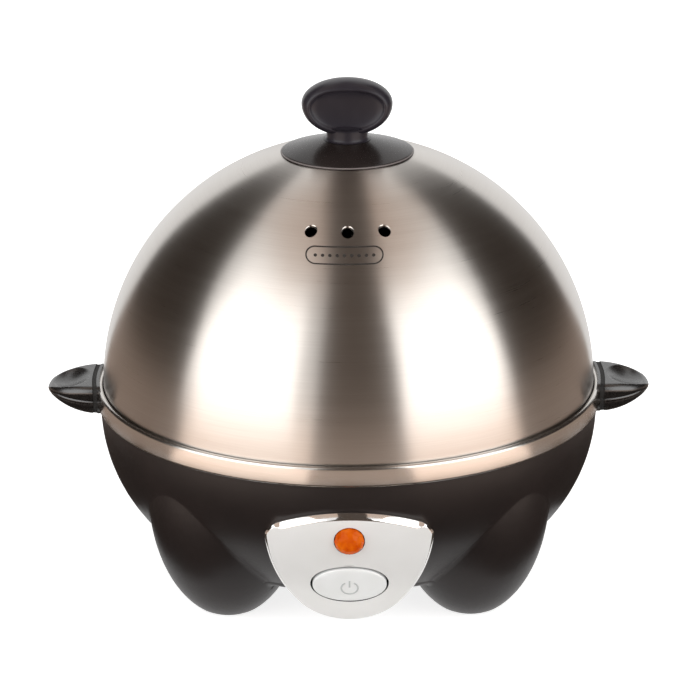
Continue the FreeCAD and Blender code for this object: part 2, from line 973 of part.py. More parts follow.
def make_thermostat():
    flange_bottom = spreader_bottom - size.thermostat_flange
    can_bottom = flange_bottom - size.thermostat_height
    can = new_body("thermostat_can")
    sketch = draw_circles(can, "XY_Plane", [(zero, zero, size.thermostat_radius)], can_bottom)
    pad(can, sketch, size.thermostat_height)
    flange = new_body("thermostat_flange")
    long_half = size.thermostat_flange_half_length
    wide_half = size.thermostat_flange_half_width
    straight = long_half - wide_half
    sketch = draw_outline(
        flange,
        "XY_Plane",
        [
            at(-straight, -wide_half),
            at(straight, -wide_half),
            via(long_half, zero),
            at(straight, wide_half),
            at(-straight, wide_half),
            via(-long_half, zero),
        ],
        flange_bottom,
    )
    pad(flange, sketch, size.thermostat_flange)
    hole_radius = size.thermostat_screw_radius + size.screw_gap
    reach = size.thermostat_screw_reach
    holes = draw_circles(flange, "XY_Plane", [(reach, zero, hole_radius), (-reach, zero, hole_radius)])
    pierce(flange, holes)
    blades = []
    for side in (-1, 1):
        blades.append(
            box(
                f"thermostat_blade_{side + 1}",
                size.blade_thickness / 2,
                size.blade_half_width,
                size.blade_length,
                size.blade_offset * side,
                zero,
                can_bottom - size.blade_length,
            )
        )
    return fused("thermostat", [can, flange] + blades)


def make_thermostat_screws():
    head_top = spreader_bottom - size.thermostat_flange
    return stepped_pins(
        "thermostat_screws",
        size.thermostat_screw_reach,
        2,
        [
            (size.thermostat_screw_head_radius, head_top - size.thermostat_screw_head_height, head_top),
            (size.thermostat_screw_radius, head_top, spreader_bottom + size.thermostat_screw_length),
        ],
    )


fuse_reach = heater_reach * fuse_reach_share
fuse_height = spreader_bottom - size.fuse_radius - size.screw_gap * 2


def make_thermal_fuse():
    body = new_body("thermal_fuse")
    sketch = draw_circles(body, "YZ_Plane", [(-fuse_reach, fuse_height, size.fuse_radius)])
    pad(body, sketch, size.fuse_length, both_ways=True)
    return body


def make_fuse_clip():
    # A strap under the fuse whose two feet are welded to the spreader
    body = new_body("fuse_clip")
    inner = size.fuse_radius + size.screw_gap
    outer = inner + size.fuse_clip_wall
    middle = -fuse_reach
    foot_bottom = spreader_bottom - size.fuse_clip_wall
    sketch = draw_outline(
        body,
        "YZ_Plane",
        [
            at(middle - outer - size.fuse_clip_foot, foot_bottom),
            at(middle - outer, foot_bottom),
            at(middle - outer, fuse_height),
            via(middle, fuse_height - outer),
            at(middle + outer, fuse_height),
            at(middle + outer, foot_bottom),
            at(middle + outer + size.fuse_clip_foot, foot_bottom),
            at(middle + outer + size.fuse_clip_foot, spreader_bottom),
            at(middle + inner, spreader_bottom),
            at(middle + inner, fuse_height),
            via(middle, fuse_height - inner),
            at(middle - inner, fuse_height),
            at(middle - inner, spreader_bottom),
            at(middle - outer - size.fuse_clip_foot, spreader_bottom),
        ],
    )
    pad(body, sketch, size.fuse_clip_width, both_ways=True)
    return body


cover_bottom = size.bowl_bottom - size.cover_thickness


def make_bottom_cover():
    body = new_body("bottom_cover")
    spigot = access_radius - size.cover_gap
    spigot_top = size.bowl_bottom + size.cover_spigot_height
    revolve(
        body,
        [
            at(zero, cover_bottom),
            at(cover_radius, cover_bottom),
            at(cover_radius, size.bowl_bottom),
            at(spigot, size.bowl_bottom),
            at(spigot, spigot_top),
            at(spigot - size.cover_spigot_wall, spigot_top),
            at(spigot - size.cover_spigot_wall, size.bowl_bottom),
            at(zero, size.bowl_bottom),
        ],
    )
    hole_radius = size.cover_screw_radius + size.screw_gap
    screw_hole = pierce(body, draw_circles(body, "XY_Plane", [(cover_screw_reach, zero, hole_radius)]))
    ring_of(body, [screw_hole], 4)
    reach = access_radius * slot_reach_share
    straight = access_radius * slot_length_share - size.cover_slot_half_width
    wide = size.cover_slot_half_width
    slot = pierce(
        body,
        draw_outline(
            body,
            "XY_Plane",
            [
                at(reach - straight, -wide),
                at(reach + straight, -wide),
                via(reach + straight + wide, zero),
                at(reach + straight, wide),
                at(reach - straight, wide),
                via(reach - straight - wide, zero),
            ],
        ),
    )
    ring_of(body, [slot], 8)
    return body


def make_cover_screws():
    return stepped_pins(
        "cover_screws",
        cover_screw_reach,
        4,
        [
            (size.cover_screw_head_radius, cover_bottom - size.cover_screw_head_height, cover_bottom),
            (size.cover_screw_radius, cover_bottom, cover_bottom + size.cover_screw_length),
        ],
    )


def make_foot_pads():
    body = stepped_pins(
        "foot_pads",
        leg_reach,
        4,
        [
            (size.foot_pad_radius, zero, size.foot_pad_height),
            (size.foot_plug_radius, size.foot_pad_height, foot_inside),
        ],
    )
    return turn_by(body, leg_angle)


def make_handle(name, turn):
    handle_root = band_radius - size.handle_root_depth
    handle_tip = band_radius + size.handle_length
    handle_middle = band_radius + size.handle_middle_length
    handle_top = band_top + size.handle_rise
    handle_bottom = band_bottom - size.handle_hang
    handle_tip_top = handle_top - size.handle_tip_drop
    handle_tip_bottom = handle_tip_top - size.handle_tip_thickness
    handle_middle_top = handle_top - size.handle_middle_drop
    handle_middle_bottom = handle_bottom + size.handle_middle_lift
    length = handle_tip - handle_root
    plan = oval_prism(f"{name}_plan", length, size.handle_half_width, handle_top)
    put(plan, x=handle_root)
    side = new_body(f"{name}_side")
    sketch = draw_outline(
        side,
        "XZ_Plane",
        [
            at(handle_root, handle_bottom),
            via(handle_middle, handle_middle_bottom),
            at(handle_tip, handle_tip_bottom),
            at(handle_tip, handle_tip_top),
            via(handle_middle, handle_middle_top),
            at(handle_root, handle_top),
        ],
    )
    pad(side, sketch, size.handle_half_width * 2, both_ways=True)
    grip = common(f"{name}_grip", plan, side)
    seat = primitive(
        "Cylinder", f"{name}_seat", Radius=band_radius + size.handle_gap, Height=handle_top * 2
    )
    thumb = primitive(
        "Ellipsoid",
        f"{name}_thumb",
        Radius1=size.thumb_depth * 2,
        Radius2=size.thumb_half_length,
        Radius3=size.thumb_half_width,
    )
    put(thumb, x=handle_middle, z=handle_middle_top + size.thumb_depth)
    shaped = cut(f"{name}_shaped", grip, fused(f"{name}_cuts", [seat, thumb]))
    tang_start = handle_screw_reach - size.tang_end
    tang_stop = band_radius + size.handle_gap + size.tang_overlap
    tang = box(
        f"{name}_tang",
        (tang_stop - tang_start) / 2,
        size.tang_half_width,
        size.tang_height,
        (tang_start + tang_stop) / 2,
        zero,
        shelf_bottom - size.tang_gap - size.tang_height,
    )
    hole = primitive(
        "Cylinder",
        f"{name}_screw_hole",
        Radius=size.handle_screw_radius + size.screw_gap,
        Height=shelf_top,
    )
    put(hole, x=handle_screw_reach)
    whole = cut(name, fused(f"{name}_whole", [shaped, tang]), hole)
    return turn_by(whole, turn)


def make_handle_screws():
    return stepped_pins(
        "handle_screws",
        handle_screw_reach,
        2,
        [
            (size.handle_screw_radius, shelf_bottom - size.tang_height, shelf_top),
            (size.handle_screw_head_radius, shelf_top, shelf_top + size.handle_screw_head_height),
        ],
    )


def shield_points(inset):
    # Outline of the panel seen from the front, moved inwards all round by the inset
    shoulder_height = size.panel_bottom + panel_height * shoulder_share
    widest_height = size.panel_bottom + panel_height * widest_share
    waist_height = size.panel_bottom + panel_height * waist_share
    chin_height = size.panel_bottom + panel_height * chin_share
    shoulder = size.shoulder_half_width - inset
    widest = size.panel_half_width - inset
    waist = size.waist_half_width - inset
    chin = size.chin_half_width - inset
    shoulder_top = shoulder_height - inset
    corner_x = (shoulder + widest * 2) / 3
    corner_z = (shoulder_top + widest_height) / 2
    return [
        at(-shoulder, shoulder_top),
        via(-corner_x, corner_z),
        at(-widest, widest_height),
        via(-waist, waist_height),
        at(-chin, chin_height + inset),
        via(zero, size.panel_bottom + inset),
        at(chin, chin_height + inset),
        via(waist, waist_height),
        at(widest, widest_height),
        via(corner_x, corner_z),
        at(shoulder, shoulder_top),
        via(zero, panel_top - inset),
    ]


def shield(name, inset):
    body = new_body(name)
    sketch = draw_outline(body, "XZ_Plane", shield_points(inset))
    pad(body, sketch, face_reach + size.overrun)
    return body


def face_ring(name, inner_shift, outer_shift):
    # A ring round the axis between two shifts of the face's curve
    body = new_body(name)
    low = size.panel_bottom - size.overrun
    high = panel_top + size.overrun
    middle = (low + high) / 2
    revolve(
        body,
        [
            at(face_radius(low, inner_shift), low),
            at(face_radius(low, outer_shift), low),
            via(face_radius(middle, outer_shift), middle),
            at(face_radius(high, outer_shift), high),
            at(face_radius(high, inner_shift), high),
            via(face_radius(middle, inner_shift), middle),
        ],
    )
    return turn_by(body, 90)


def make_control_panel():
    face = common("panel_face", shield("panel_shield", zero), face_ring("panel_skin", -size.panel_wall, zero))
    frame = cut("panel_frame", shield("panel_outer", zero), shield("panel_inner", size.panel_rim))
    rim = common("panel_rim", frame, face_ring("panel_deep", -size.panel_depth, zero))
    bosses = stepped_pins(
        "panel_bosses",
        size.panel_screw_offset,
        2,
        [(size.panel_boss_radius, panel_boss_start, -size.panel_wall)],
    )
    square_to_button(bosses)
    whole = fused("panel_whole", [face, rim, bosses])
    bowl = new_body("panel_bowl_clearance")
    top = panel_top + size.overrun
    revolve(bowl, bowl_points(size.panel_gap, top) + [at(zero, top)])
    turn_by(bowl, 90)
    opening = oval_prism(
        "button_opening",
        size.button_half_width + size.button_gap,
        size.button_half_height + size.button_gap,
        size.panel_depth,
        size.panel_depth,
    )
    square_to_button(opening)
    lens_hole = new_body("lens_hole")
    sketch = draw_circles(
        lens_hole, "XY_Plane", [(zero, zero, size.lens_radius + size.screw_gap)], -size.panel_depth
    )
    pad(lens_hole, sketch, size.panel_depth * 2)
    square_to_lamp(lens_hole)
    screw_holes = stepped_pins(
        "panel_screw_holes",
        size.panel_screw_offset,
        2,
        [
            (
                size.panel_screw_radius + size.screw_gap,
                panel_boss_start - size.overrun,
                -size.panel_wall,
            )
        ],
    )
    square_to_button(screw_holes)
    return cut("control_panel", whole, fused("panel_cuts", [bowl, opening, lens_hole, screw_holes]))


def make_panel_screws():
    seat = -(size.switch_seat_depth + size.bracket_thickness)
    body = stepped_pins(
        "panel_screws",
        size.panel_screw_offset,
        2,
        [
            (size.panel_screw_head_radius, seat - size.panel_screw_head_height, seat),
            (size.panel_screw_radius, seat, -(size.panel_wall + size.screw_gap)),
        ],
    )
    return square_to_button(body)


def make_switch_bracket():
    body = new_body("switch_bracket")
    long_half = size.bracket_half_length
    wide_half = size.bracket_half_width
    back = -(size.switch_seat_depth + size.bracket_thickness)
    sketch = draw_outline(
        body,
        "XY_Plane",
        [
            at(-long_half, -wide_half),
            at(long_half, -wide_half),
            at(long_half, wide_half),
            at(-long_half, wide_half),
        ],
        back,
    )
    pad(body, sketch, size.bracket_thickness)
    hole_radius = size.panel_screw_radius + size.screw_gap
    offset = size.panel_screw_offset
    holes = draw_circles(
        body,
        "XY_Plane",
        [(zero, zero, size.bushing_radius), (offset, zero, hole_radius), (-offset, zero, hole_radius)],
    )
    pierce(body, holes)
    return square_to_button(body)


plunger_front_depth = -(size.switch_seat_depth - size.plunger_front)
plunger_back = plunger_front_depth - size.plunger_length


def make_switch_body():
    front = -(size.switch_seat_depth + size.bracket_thickness)
    back = front - size.switch_depth
    body = new_body("switch_body")
    wide = size.switch_half_width
    tall = size.switch_half_height
    sketch = draw_outline(
        body, "XY_Plane", [at(-wide, -tall), at(wide, -tall), at(wide, tall), at(-wide, tall)], back
    )
    pad(body, sketch, size.switch_depth)
    blade = draw_outline(
        body,
        "XY_Plane",
        [
            at(size.switch_blade_offset, -size.blade_half_width),
            at(size.switch_blade_offset + size.blade_thickness, -size.blade_half_width),
            at(size.switch_blade_offset + size.blade_thickness, size.blade_half_width),
            at(size.switch_blade_offset, size.blade_half_width),
        ],
        back - size.blade_length,
    )
    ring_of(body, [pad(body, blade, size.blade_length)], 2)
    bore_bottom = plunger_back - size.button_travel - size.stem_gap
    bore = draw_circles(body, "XY_Plane", [(zero, zero, size.plunger_radius + size.fit_gap)], bore_bottom)
    feature = body.newObject("PartDesign::Pocket", "plunger_bore")
    feature.Profile = bore
    feature.Reversed = True
    feature.setExpression("Length", (front - bore_bottom + size.overrun).formula)
    body.Tip = feature
    return square_to_button(body)


def make_switch_plunger():
    body = new_body("switch_plunger")
    sketch = draw_circles(body, "XY_Plane", [(zero, zero, size.plunger_radius)], plunger_back)
    pad(body, sketch, size.plunger_length)
    return square_to_button(body)


def make_power_button():
    plate = oval_prism(
        "button_plate",
        size.button_half_width,
        size.button_half_height,
        size.panel_depth,
        size.panel_depth,
    )
    square_to_button(plate)
    skin = face_ring("button_skin", -size.button_thickness, size.button_rise)
    cap = common("button_cap", plate, skin)
    stem = new_body("button_stem")
    sketch = draw_circles(stem, "XY_Plane", [(zero, zero, size.button_stem_radius)], plunger_front_depth)
    pad(stem, sketch, -plunger_front_depth - size.button_thickness / 2)
    square_to_button(stem)
    return fused("power_button", [cap, stem])


def make_indicator_lens():
    body = new_body("indicator_lens")
    rise = size.lens_crown - size.lens_edge
    run = size.lens_radius - size.lens_flat_radius
    revolve(
        body,
        [
            at(zero, -size.panel_wall),
            at(size.lens_radius, -size.panel_wall),
            at(size.lens_radius, size.lens_edge),
            via(
                size.lens_flat_radius + run * corner_mid_run_share,
                size.lens_crown - rise * corner_mid_rise_share,
            ),
            at(size.lens_flat_radius, size.lens_crown),
            at(zero, size.lens_crown),
        ],
    )
    return square_to_lamp(body)


def make_lamp_holder():
    body = new_body("lamp_holder")
    front = -(size.panel_wall + size.screw_gap)
    back = front - size.lamp_tube_length
    bore = size.lamp_tube_radius - size.lamp_tube_wall
    flange_front = -size.lamp_flange_depth
    flange_back = flange_front - size.lamp_flange_thickness
    revolve(
        body,
        [
            at(bore, back),
            at(size.lamp_tube_radius, back),
            at(size.lamp_tube_radius, flange_back),
            at(size.lamp_flange_radius, flange_back),
            at(size.lamp_flange_radius, flange_front),
            at(size.lamp_tube_radius, flange_front),
            at(size.lamp_tube_radius, front),
            at(bore, front),
        ],
    )
    return square_to_lamp(body)


def make_neon_lamp():
    body = new_body("neon_lamp")
    front = -size.neon_depth
    back = front - size.neon_length
    bend = size.neon_radius - size.neon_tip_radius
    bend_middle = bend * quarter_mid_share
    revolve(
        body,
        [
            at(zero, back),
            at(size.neon_radius, back),
            at(size.neon_radius, front - bend),
            via(size.neon_radius - bend_middle, front - bend_middle),
            at(size.neon_tip_radius, front),
            at(zero, front),
        ],
    )
    return square_to_lamp(body)


def make_cord_gland():
    body = new_body("cord_gland")
    seat = size.gland_seat_rise
    flange_top = seat + size.gland_flange_thickness
    nose_top = flange_top + size.gland_nose_length
    revolve(
        body,
        [
            at(size.gland_bore_radius, -size.gland_length),
            at(size.gland_radius, -size.gland_length),
            at(size.gland_radius, seat),
            at(size.gland_flange_radius, seat),
            at(size.gland_flange_radius, flange_top),
            at(size.gland_nose_radius, nose_top),
            at(size.gland_bore_radius, nose_top),
        ],
    )
    return square_to_gland(body)


def make_gland_nut():
    body = new_body("gland_nut")
    back = -(size.gland_seat_depth + size.gland_nut_thickness)
    corners = []
    for number in range(6):
        spoke = math.radians(60 * number)
        radius = size.gland_nut_radius
        corners.append(at(radius * math.cos(spoke), radius * math.sin(spoke)))
    pad(body, draw_outline(body, "XY_Plane", corners, back), size.gland_nut_thickness)
    pierce(body, draw_circles(body, "XY_Plane", [(zero, zero, size.gland_radius + size.screw_gap)]))
    return square_to_gland(body)


def terminal_row(name, gap):
    row = []
    top = floor_inside + size.block_height
    for side in (-1, 0, 1):
        rod = primitive(
            "Cylinder",
            f"terminal_{name}_{side + 1}",
            Radius=size.terminal_radius + gap,
            Height=size.terminal_depth + gap,
        )
        put(rod, size.terminal_pitch * side, block_reach, top - size.terminal_depth - gap)
        row.append(rod)
    return row


def make_terminal_block():
    body = new_body("terminal_block_body")
    long_half = size.block_half_length
    wide_half = size.block_half_width
    sketch = draw_outline(
        body,
        "XY_Plane",
        [
            at(-long_half, -wide_half),
            at(long_half, -wide_half),
            at(long_half, wide_half),
            at(-long_half, wide_half),
        ],
        floor_inside,
    )
    pad(body, sketch, size.block_height)
    put(body, y=block_reach)
    return cut("terminal_block", body, grouped("terminal_holes", terminal_row("hole", size.screw_gap)))


def make_egg_rack():
    body = new_body("egg_rack")
    egg_hole_radius = (rack_radius - size.rack_margin - size.egg_web) / 3
    egg_pitch = egg_hole_radius * 2 + size.egg_web
    steam_hole_reach = rack_radius - size.steam_hole_inset
    lug_reach = rack_radius - size.lug_inset
    rack_bottom = ledge_top + size.rim_screw_head_height + size.rack_clearance
    rack_top = rack_bottom + size.rack_wall
    revolve(
        body,
        [
            at(zero, rack_bottom),
            at(rack_radius - size.rack_hem, rack_bottom),
            at(rack_radius - size.rack_hem, ledge_top),
            at(rack_radius, ledge_top),
            at(rack_radius, rack_top),
            at(zero, rack_top),
        ],
    )
    pierce(body, draw_circles(body, "XY_Plane", [(zero, zero, egg_hole_radius)]))
    spoke = math.radians(egg_angle)
    egg_x = egg_pitch * math.cos(spoke)
    egg_y = egg_pitch * math.sin(spoke)
    ring_of(body, [pierce(body, draw_circles(body, "XY_Plane", [(egg_x, egg_y, egg_hole_radius)]))], 6)
    spoke = math.radians(egg_angle / 2)
    steam_x = steam_hole_reach * math.cos(spoke)
    steam_y = steam_hole_reach * math.sin(spoke)
    steam_holes = draw_circles(body, "XY_Plane", [(steam_x, steam_y, size.steam_hole_radius)])
    ring_of(body, [pierce(body, steam_holes)], 12)
    shoulder = rack_top + size.lug_shoulder
    lug_outline = draw_outline(
        body,
        "YZ_Plane",
        [
            at(-size.lug_half_width, rack_bottom),
            at(size.lug_half_width, rack_bottom),
            at(size.lug_half_width, shoulder),
            via(zero, rack_top + size.lug_height),
            at(-size.lug_half_width, shoulder),
        ],
        lug_reach,
    )
    lug = pad(body, lug_outline, size.lug_thickness)
    lug_hole = draw_circles(
        body, "YZ_Plane", [(zero, rack_top + size.lug_hole_height, size.lug_hole_radius)], lug_reach
    )
    finger_hole = body.newObject("PartDesign::Pocket", "finger_hole")
    finger_hole.Profile = lug_hole
    finger_hole.Reversed = True
    finger_hole.setExpression("Length", (size.lug_thickness + size.overrun).formula)
    pattern = body.newObject("PartDesign::PolarPattern", "lugs")
    pattern.Originals = [lug, finger_hole]
    pattern.Axis = (steam_holes, ["N_Axis"])
    pattern.Angle = 360
    pattern.Occurrences = 2
    body.Tip = pattern
    return body


def make_lid_dome():
    body = new_body("lid_dome")
    inner = size.lid_radius - size.lid_wall
    revolve(
        body,
        [
            at(inner, ledge_top),
            at(size.lid_radius, ledge_top),
            at(size.lid_radius, size.rim_height),
            via(size.lid_radius * diagonal_share, size.rim_height + size.lid_radius * diagonal_share),
            at(zero, lid_top),
            at(zero, lid_top - size.lid_wall),
            via(inner * diagonal_share, size.rim_height + inner * diagonal_share),
            at(inner, size.rim_height),
        ],
    )
    holes = [(zero, zero, size.knob_screw_radius + size.knob_hole_gap)]
    for turn in vent_turns:
        spoke = math.radians(size.vent_angle.value * turn)
        holes.append(
            (size.vent_reach * math.sin(spoke), -size.vent_reach * math.cos(spoke), size.vent_radius)
        )
    pierce(body, draw_circles(body, "XY_Plane", holes))
    return body


def make_knob_escutcheon():
    body = new_body("knob_escutcheon")
    bore = size.knob_screw_radius + size.knob_hole_gap
    middle = (bore + size.disc_radius) / 2
    edge_bottom = dome_height(size.disc_radius, size.disc_gap)
    edge_top = edge_bottom + size.disc_edge
    revolve(
        body,
        [
            at(bore, dome_height(bore, size.disc_gap)),
            via(middle, dome_height(middle, size.disc_gap)),
            at(size.disc_radius, edge_bottom),
            at(size.disc_radius, edge_top),
            at(size.disc_radius - size.disc_bevel, edge_top + size.disc_bevel),
            at(size.neck_foot_radius, disc_top),
            at(bore, disc_top),
        ],
    )
    return body


def make_lid_knob():
    neck_top = disc_top + size.neck_height
    knob_top = disc_top + size.knob_height
    middle = disc_top + size.knob_middle
    paddle = new_body("knob_paddle")
    crown_x = size.knob_half_width * crown_width_share
    crown_z = middle + (knob_top - middle) * crown_height_share
    cheek_x = size.knob_half_width * cheek_width_share
    cheek_z = neck_top + (middle - neck_top) * cheek_height_share
    foot_x = size.neck_radius
    foot_z = neck_top - size.recess_depth
    sketch = draw_outline(
        paddle,
        "XZ_Plane",
        [
            at(-foot_x, foot_z),
            at(foot_x, foot_z),
            at(cheek_x, cheek_z),
            via(size.knob_half_width, middle),
            at(crown_x, crown_z),
            via(zero, knob_top),
            at(-crown_x, crown_z),
            via(-size.knob_half_width, middle),
            at(-cheek_x, cheek_z),
        ],
    )
    pad(paddle, sketch, size.knob_thickness, both_ways=True)
    side = new_body("knob_side")
    face = size.knob_thickness / 2
    sketch = draw_outline(
        side,
        "YZ_Plane",
        [
            at(-face, foot_z),
            at(face, foot_z),
            at(face, knob_top - size.knob_round),
            via(zero, knob_top),
            at(-face, knob_top - size.knob_round),
        ],
    )
    pad(side, sketch, size.knob_half_width * 2, both_ways=True)
    neck = new_body("knob_neck")
    foot_rise = size.neck_foot_rise
    flare = size.neck_foot_radius - size.neck_radius
    revolve(
        neck,
        [
            at(zero, disc_top),
            at(size.neck_foot_radius, disc_top),
            via(
                size.neck_radius + flare * quarter_mid_share,
                disc_top + foot_rise * quarter_mid_share,
            ),
            at(size.neck_radius, disc_top + foot_rise),
            at(size.neck_radius, neck_top),
            at(zero, neck_top),
        ],
    )
    blank = fused("knob_blank", [common("knob_rounded", paddle, side), neck])
    # Each recess is the cap of an oval ball, cut off half way from its middle to its pole
    widening = root(plain(4 / 3))
    recesses = []
    for way in (-1, 1):
        recess = primitive(
            "Ellipsoid",
            f"knob_recess_{way + 1}",
            Radius1=size.recess_half_height * widening,
            Radius2=size.recess_half_width * widening,
            Radius3=size.recess_depth * 2,
        )
        put(recess, y=(face + size.recess_depth) * way, z=middle)
        recesses.append(recess)
    bore = primitive(
        "Cylinder",
        "knob_bore",
        Radius=size.knob_screw_radius + size.screw_gap,
        Height=size.knob_screw_depth + size.screw_gap,
    )
    put(bore, z=disc_top)
    return cut("lid_knob", blank, fused("knob_cuts", recesses + [bore]))


washer_top = dome_height(size.washer_radius, -(size.lid_wall + size.screw_gap))
washer_bottom = washer_top - size.washer_thickness


def make_knob_washer():
    body = new_body("knob_washer")
    bore = size.knob_screw_radius + size.screw_gap
    revolve(
        body,
        [
            at(bore, washer_bottom),
            at(size.washer_radius, washer_bottom),
            at(size.washer_radius, washer_top),
            at(bore, washer_top),
        ],
    )
    return body


def make_knob_screw():
    body = new_body("knob_screw")
    head_bottom = washer_bottom - size.knob_screw_head_height
    revolve(
        body,
        [
            at(zero, head_bottom),
            at(size.knob_screw_head_radius, head_bottom),
            at(size.knob_screw_head_radius, washer_bottom),
            at(size.knob_screw_radius, washer_bottom),
            at(size.knob_screw_radius, disc_top + size.knob_screw_depth),
            at(zero, disc_top + size.knob_screw_depth),
        ],
    )
    return body


# Routes of the wires inside the base, from the middle of one terminal's face to the next
lead_routes = {
    "lead_live": [
        (-8, 40, 20),
        (-8, 34, 20),
        (-18, 22, 20),
        (-21, 4, 20),
        (-20, -15, 20),
        (-18, -32, 22),
        (-15, -45, 27),
        (-10, -52.63, 34.45),
        (-4.8, -52.63, 34.45),
    ],
    "lead_fused": [
        (4.8, -52.63, 34.45),
        (10, -52.63, 34.45),
        (11, -44, 30.5),
        (2, -35, 29.5),
        (-9, -29, 32),
        (-12, -22, 36.8),
        (-7, -22, 36.8),
    ],
    "lead_heater": [
        (7, -22, 36.8),
        (12, -22, 36.8),
        (19, -13, 33),
        (22, 2, 31),
        (18, 18, 30.5),
        (10, 30, 31),
        (7.5, 38.6, 34),
        (8.61, 38.9, 37.4),
        (12.07, 36.91, 37.4),
    ],
    "lead_thermostat": [
        (-12.07, 36.91, 37.4),
        (-8.61, 38.9, 37.4),
        (-7, 37, 32),
        (-9, 26, 28.5),
        (-10, 12, 26.5),
        (-9.5, 0, 25.5),
        (-4.9, 0, 25.5),
    ],
    "lead_neutral": [
        (4.9, 0, 25.5),
        (10, 0, 25.5),
        (13, 10, 22.5),
        (13, 24, 20.5),
        (8, 33, 20),
        (8, 40, 20),
    ],
}
bend_reach_share = 0.45
# Share of its volume by which a wire may differ from its section times its length
lead_volume_share = 0.01


def make_lead(name, route):
    # A round wire along straight runs that tangent arcs join
    corners = [Vector(*point) for point in route]
    radius = size.lead_radius.value
    edges = []
    here = corners[0]
    for before, corner, after in zip(corners, corners[1:], corners[2:]):
        coming = corner - before
        going = after - corner
        reach = bend_reach_share * min(coming.Length, going.Length)
        half_turn = coming.getAngle(going) / 2
        coming.normalize()
        going.normalize()
        start = corner - coming * reach
        stop = corner + going * reach
        bend = reach / math.tan(half_turn)
        inwards = going - coming
        inwards.normalize()
        middle = corner + inwards * (bend / math.cos(half_turn) - bend)
        edges.append(Part.LineSegment(here, start).toShape())
        edges.append(Part.Arc(start, middle, stop).toShape())
        here = stop
    edges.append(Part.LineSegment(here, corners[-1]).toShape())
    path = Part.Wire(edges)
    section = Part.Wire(Part.Circle(corners[0], corners[1] - corners[0], radius).toShape())
    wire = doc.addObject("Part::Feature", name)
    wire.Shape = path.makePipeShell([section], True, False)
    wire.Placement = Placement()
    expected = math.pi * radius * radius * path.Length
    if abs(wire.Shape.Volume / expected - 1) > lead_volume_share:
        raise RuntimeError(f"{name} is pinched at a bend")
    return wire


nodes = {
    "base_shell": make_base_shell(),
    "rim_band": make_rim_band(),
    "rim_screws": make_rim_screws(),
    "dish_seal": make_dish_seal(),
    "heating_dish": make_heating_dish(),
    "heat_spreader": make_heat_spreader(),
    "heater_element": make_heater_element(),
    "heater_terminals": make_heater_terminals(),
    "thermostat": make_thermostat(),
    "thermostat_screws": make_thermostat_screws(),
    "thermal_fuse": make_thermal_fuse(),
    "fuse_clip": make_fuse_clip(),
    "bottom_cover": make_bottom_cover(),
    "cover_screws": make_cover_screws(),
    "foot_pads": make_foot_pads(),
    "handle_right": make_handle("handle_right", 0),
    "handle_left": make_handle("handle_left", 180),
    "handle_screws": make_handle_screws(),
    "control_panel": make_control_panel(),
    "panel_screws": make_panel_screws(),
    "switch_bracket": make_switch_bracket(),
    "switch_body": make_switch_body(),
    "switch_plunger": make_switch_plunger(),
    "power_button": make_power_button(),
    "indicator_lens": make_indicator_lens(),
    "lamp_holder": make_lamp_holder(),
    "neon_lamp": make_neon_lamp(),
    "cord_gland": make_cord_gland(),
    "gland_nut": make_gland_nut(),
    "terminal_block": make_terminal_block(),
    "terminal_screws": grouped("terminal_screws", terminal_row("screw", zero)),
    "egg_rack": make_egg_rack(),
    "lid_dome": make_lid_dome(),
    "knob_escutcheon": make_knob_escutcheon(),
    "lid_knob": make_lid_knob(),
    "knob_washer": make_knob_washer(),
    "knob_screw": make_knob_screw(),
}
for name, route in lead_routes.items():
    nodes[name] = make_lead(name, route)
doc.recompute()

for item in doc.Objects:
    if "Invalid" in item.State or "Error" in item.State:
        raise RuntimeError(f"{item.Label} failed: {item.State}")
for name, item in nodes.items():
    item.Label = name
    if item.Shape.isNull() or not item.Shape.isValid():
        raise RuntimeError(f"{name} has no valid shape")

os.makedirs("parts", exist_ok=True)
for name, item in nodes.items():
    item.Shape.exportStep(f"parts/{name}.step")
    print(name, len(item.Shape.Solids), round(item.Shape.Volume, 1))
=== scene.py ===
import math

import bmesh
import bpy
from mathutils import Matrix, Vector


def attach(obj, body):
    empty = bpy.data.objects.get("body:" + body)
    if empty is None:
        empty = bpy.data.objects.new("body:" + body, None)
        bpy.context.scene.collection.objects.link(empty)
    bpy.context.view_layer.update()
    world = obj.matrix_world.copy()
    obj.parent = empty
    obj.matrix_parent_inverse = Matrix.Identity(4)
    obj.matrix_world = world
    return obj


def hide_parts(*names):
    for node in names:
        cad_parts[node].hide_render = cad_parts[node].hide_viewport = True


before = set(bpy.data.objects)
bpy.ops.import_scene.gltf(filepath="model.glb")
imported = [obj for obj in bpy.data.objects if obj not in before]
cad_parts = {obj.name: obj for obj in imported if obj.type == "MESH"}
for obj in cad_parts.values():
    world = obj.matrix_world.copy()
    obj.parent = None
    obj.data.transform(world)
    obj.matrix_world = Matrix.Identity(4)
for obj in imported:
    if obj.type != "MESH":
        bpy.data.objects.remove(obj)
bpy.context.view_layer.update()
mm = 0.001


view = {
    "target": (0.0, 0.0, 0.064),
    "distance": 1.1,
    "elevation": 20.0,
    "roll": 0.3,
    "aim": (1.5, 28.6),  # how far the picture's middle lies from the target, in pixels
    "focal": 3319.0,     # focal length in pixels of a picture 700 pixels wide
    "picture": 700,
}


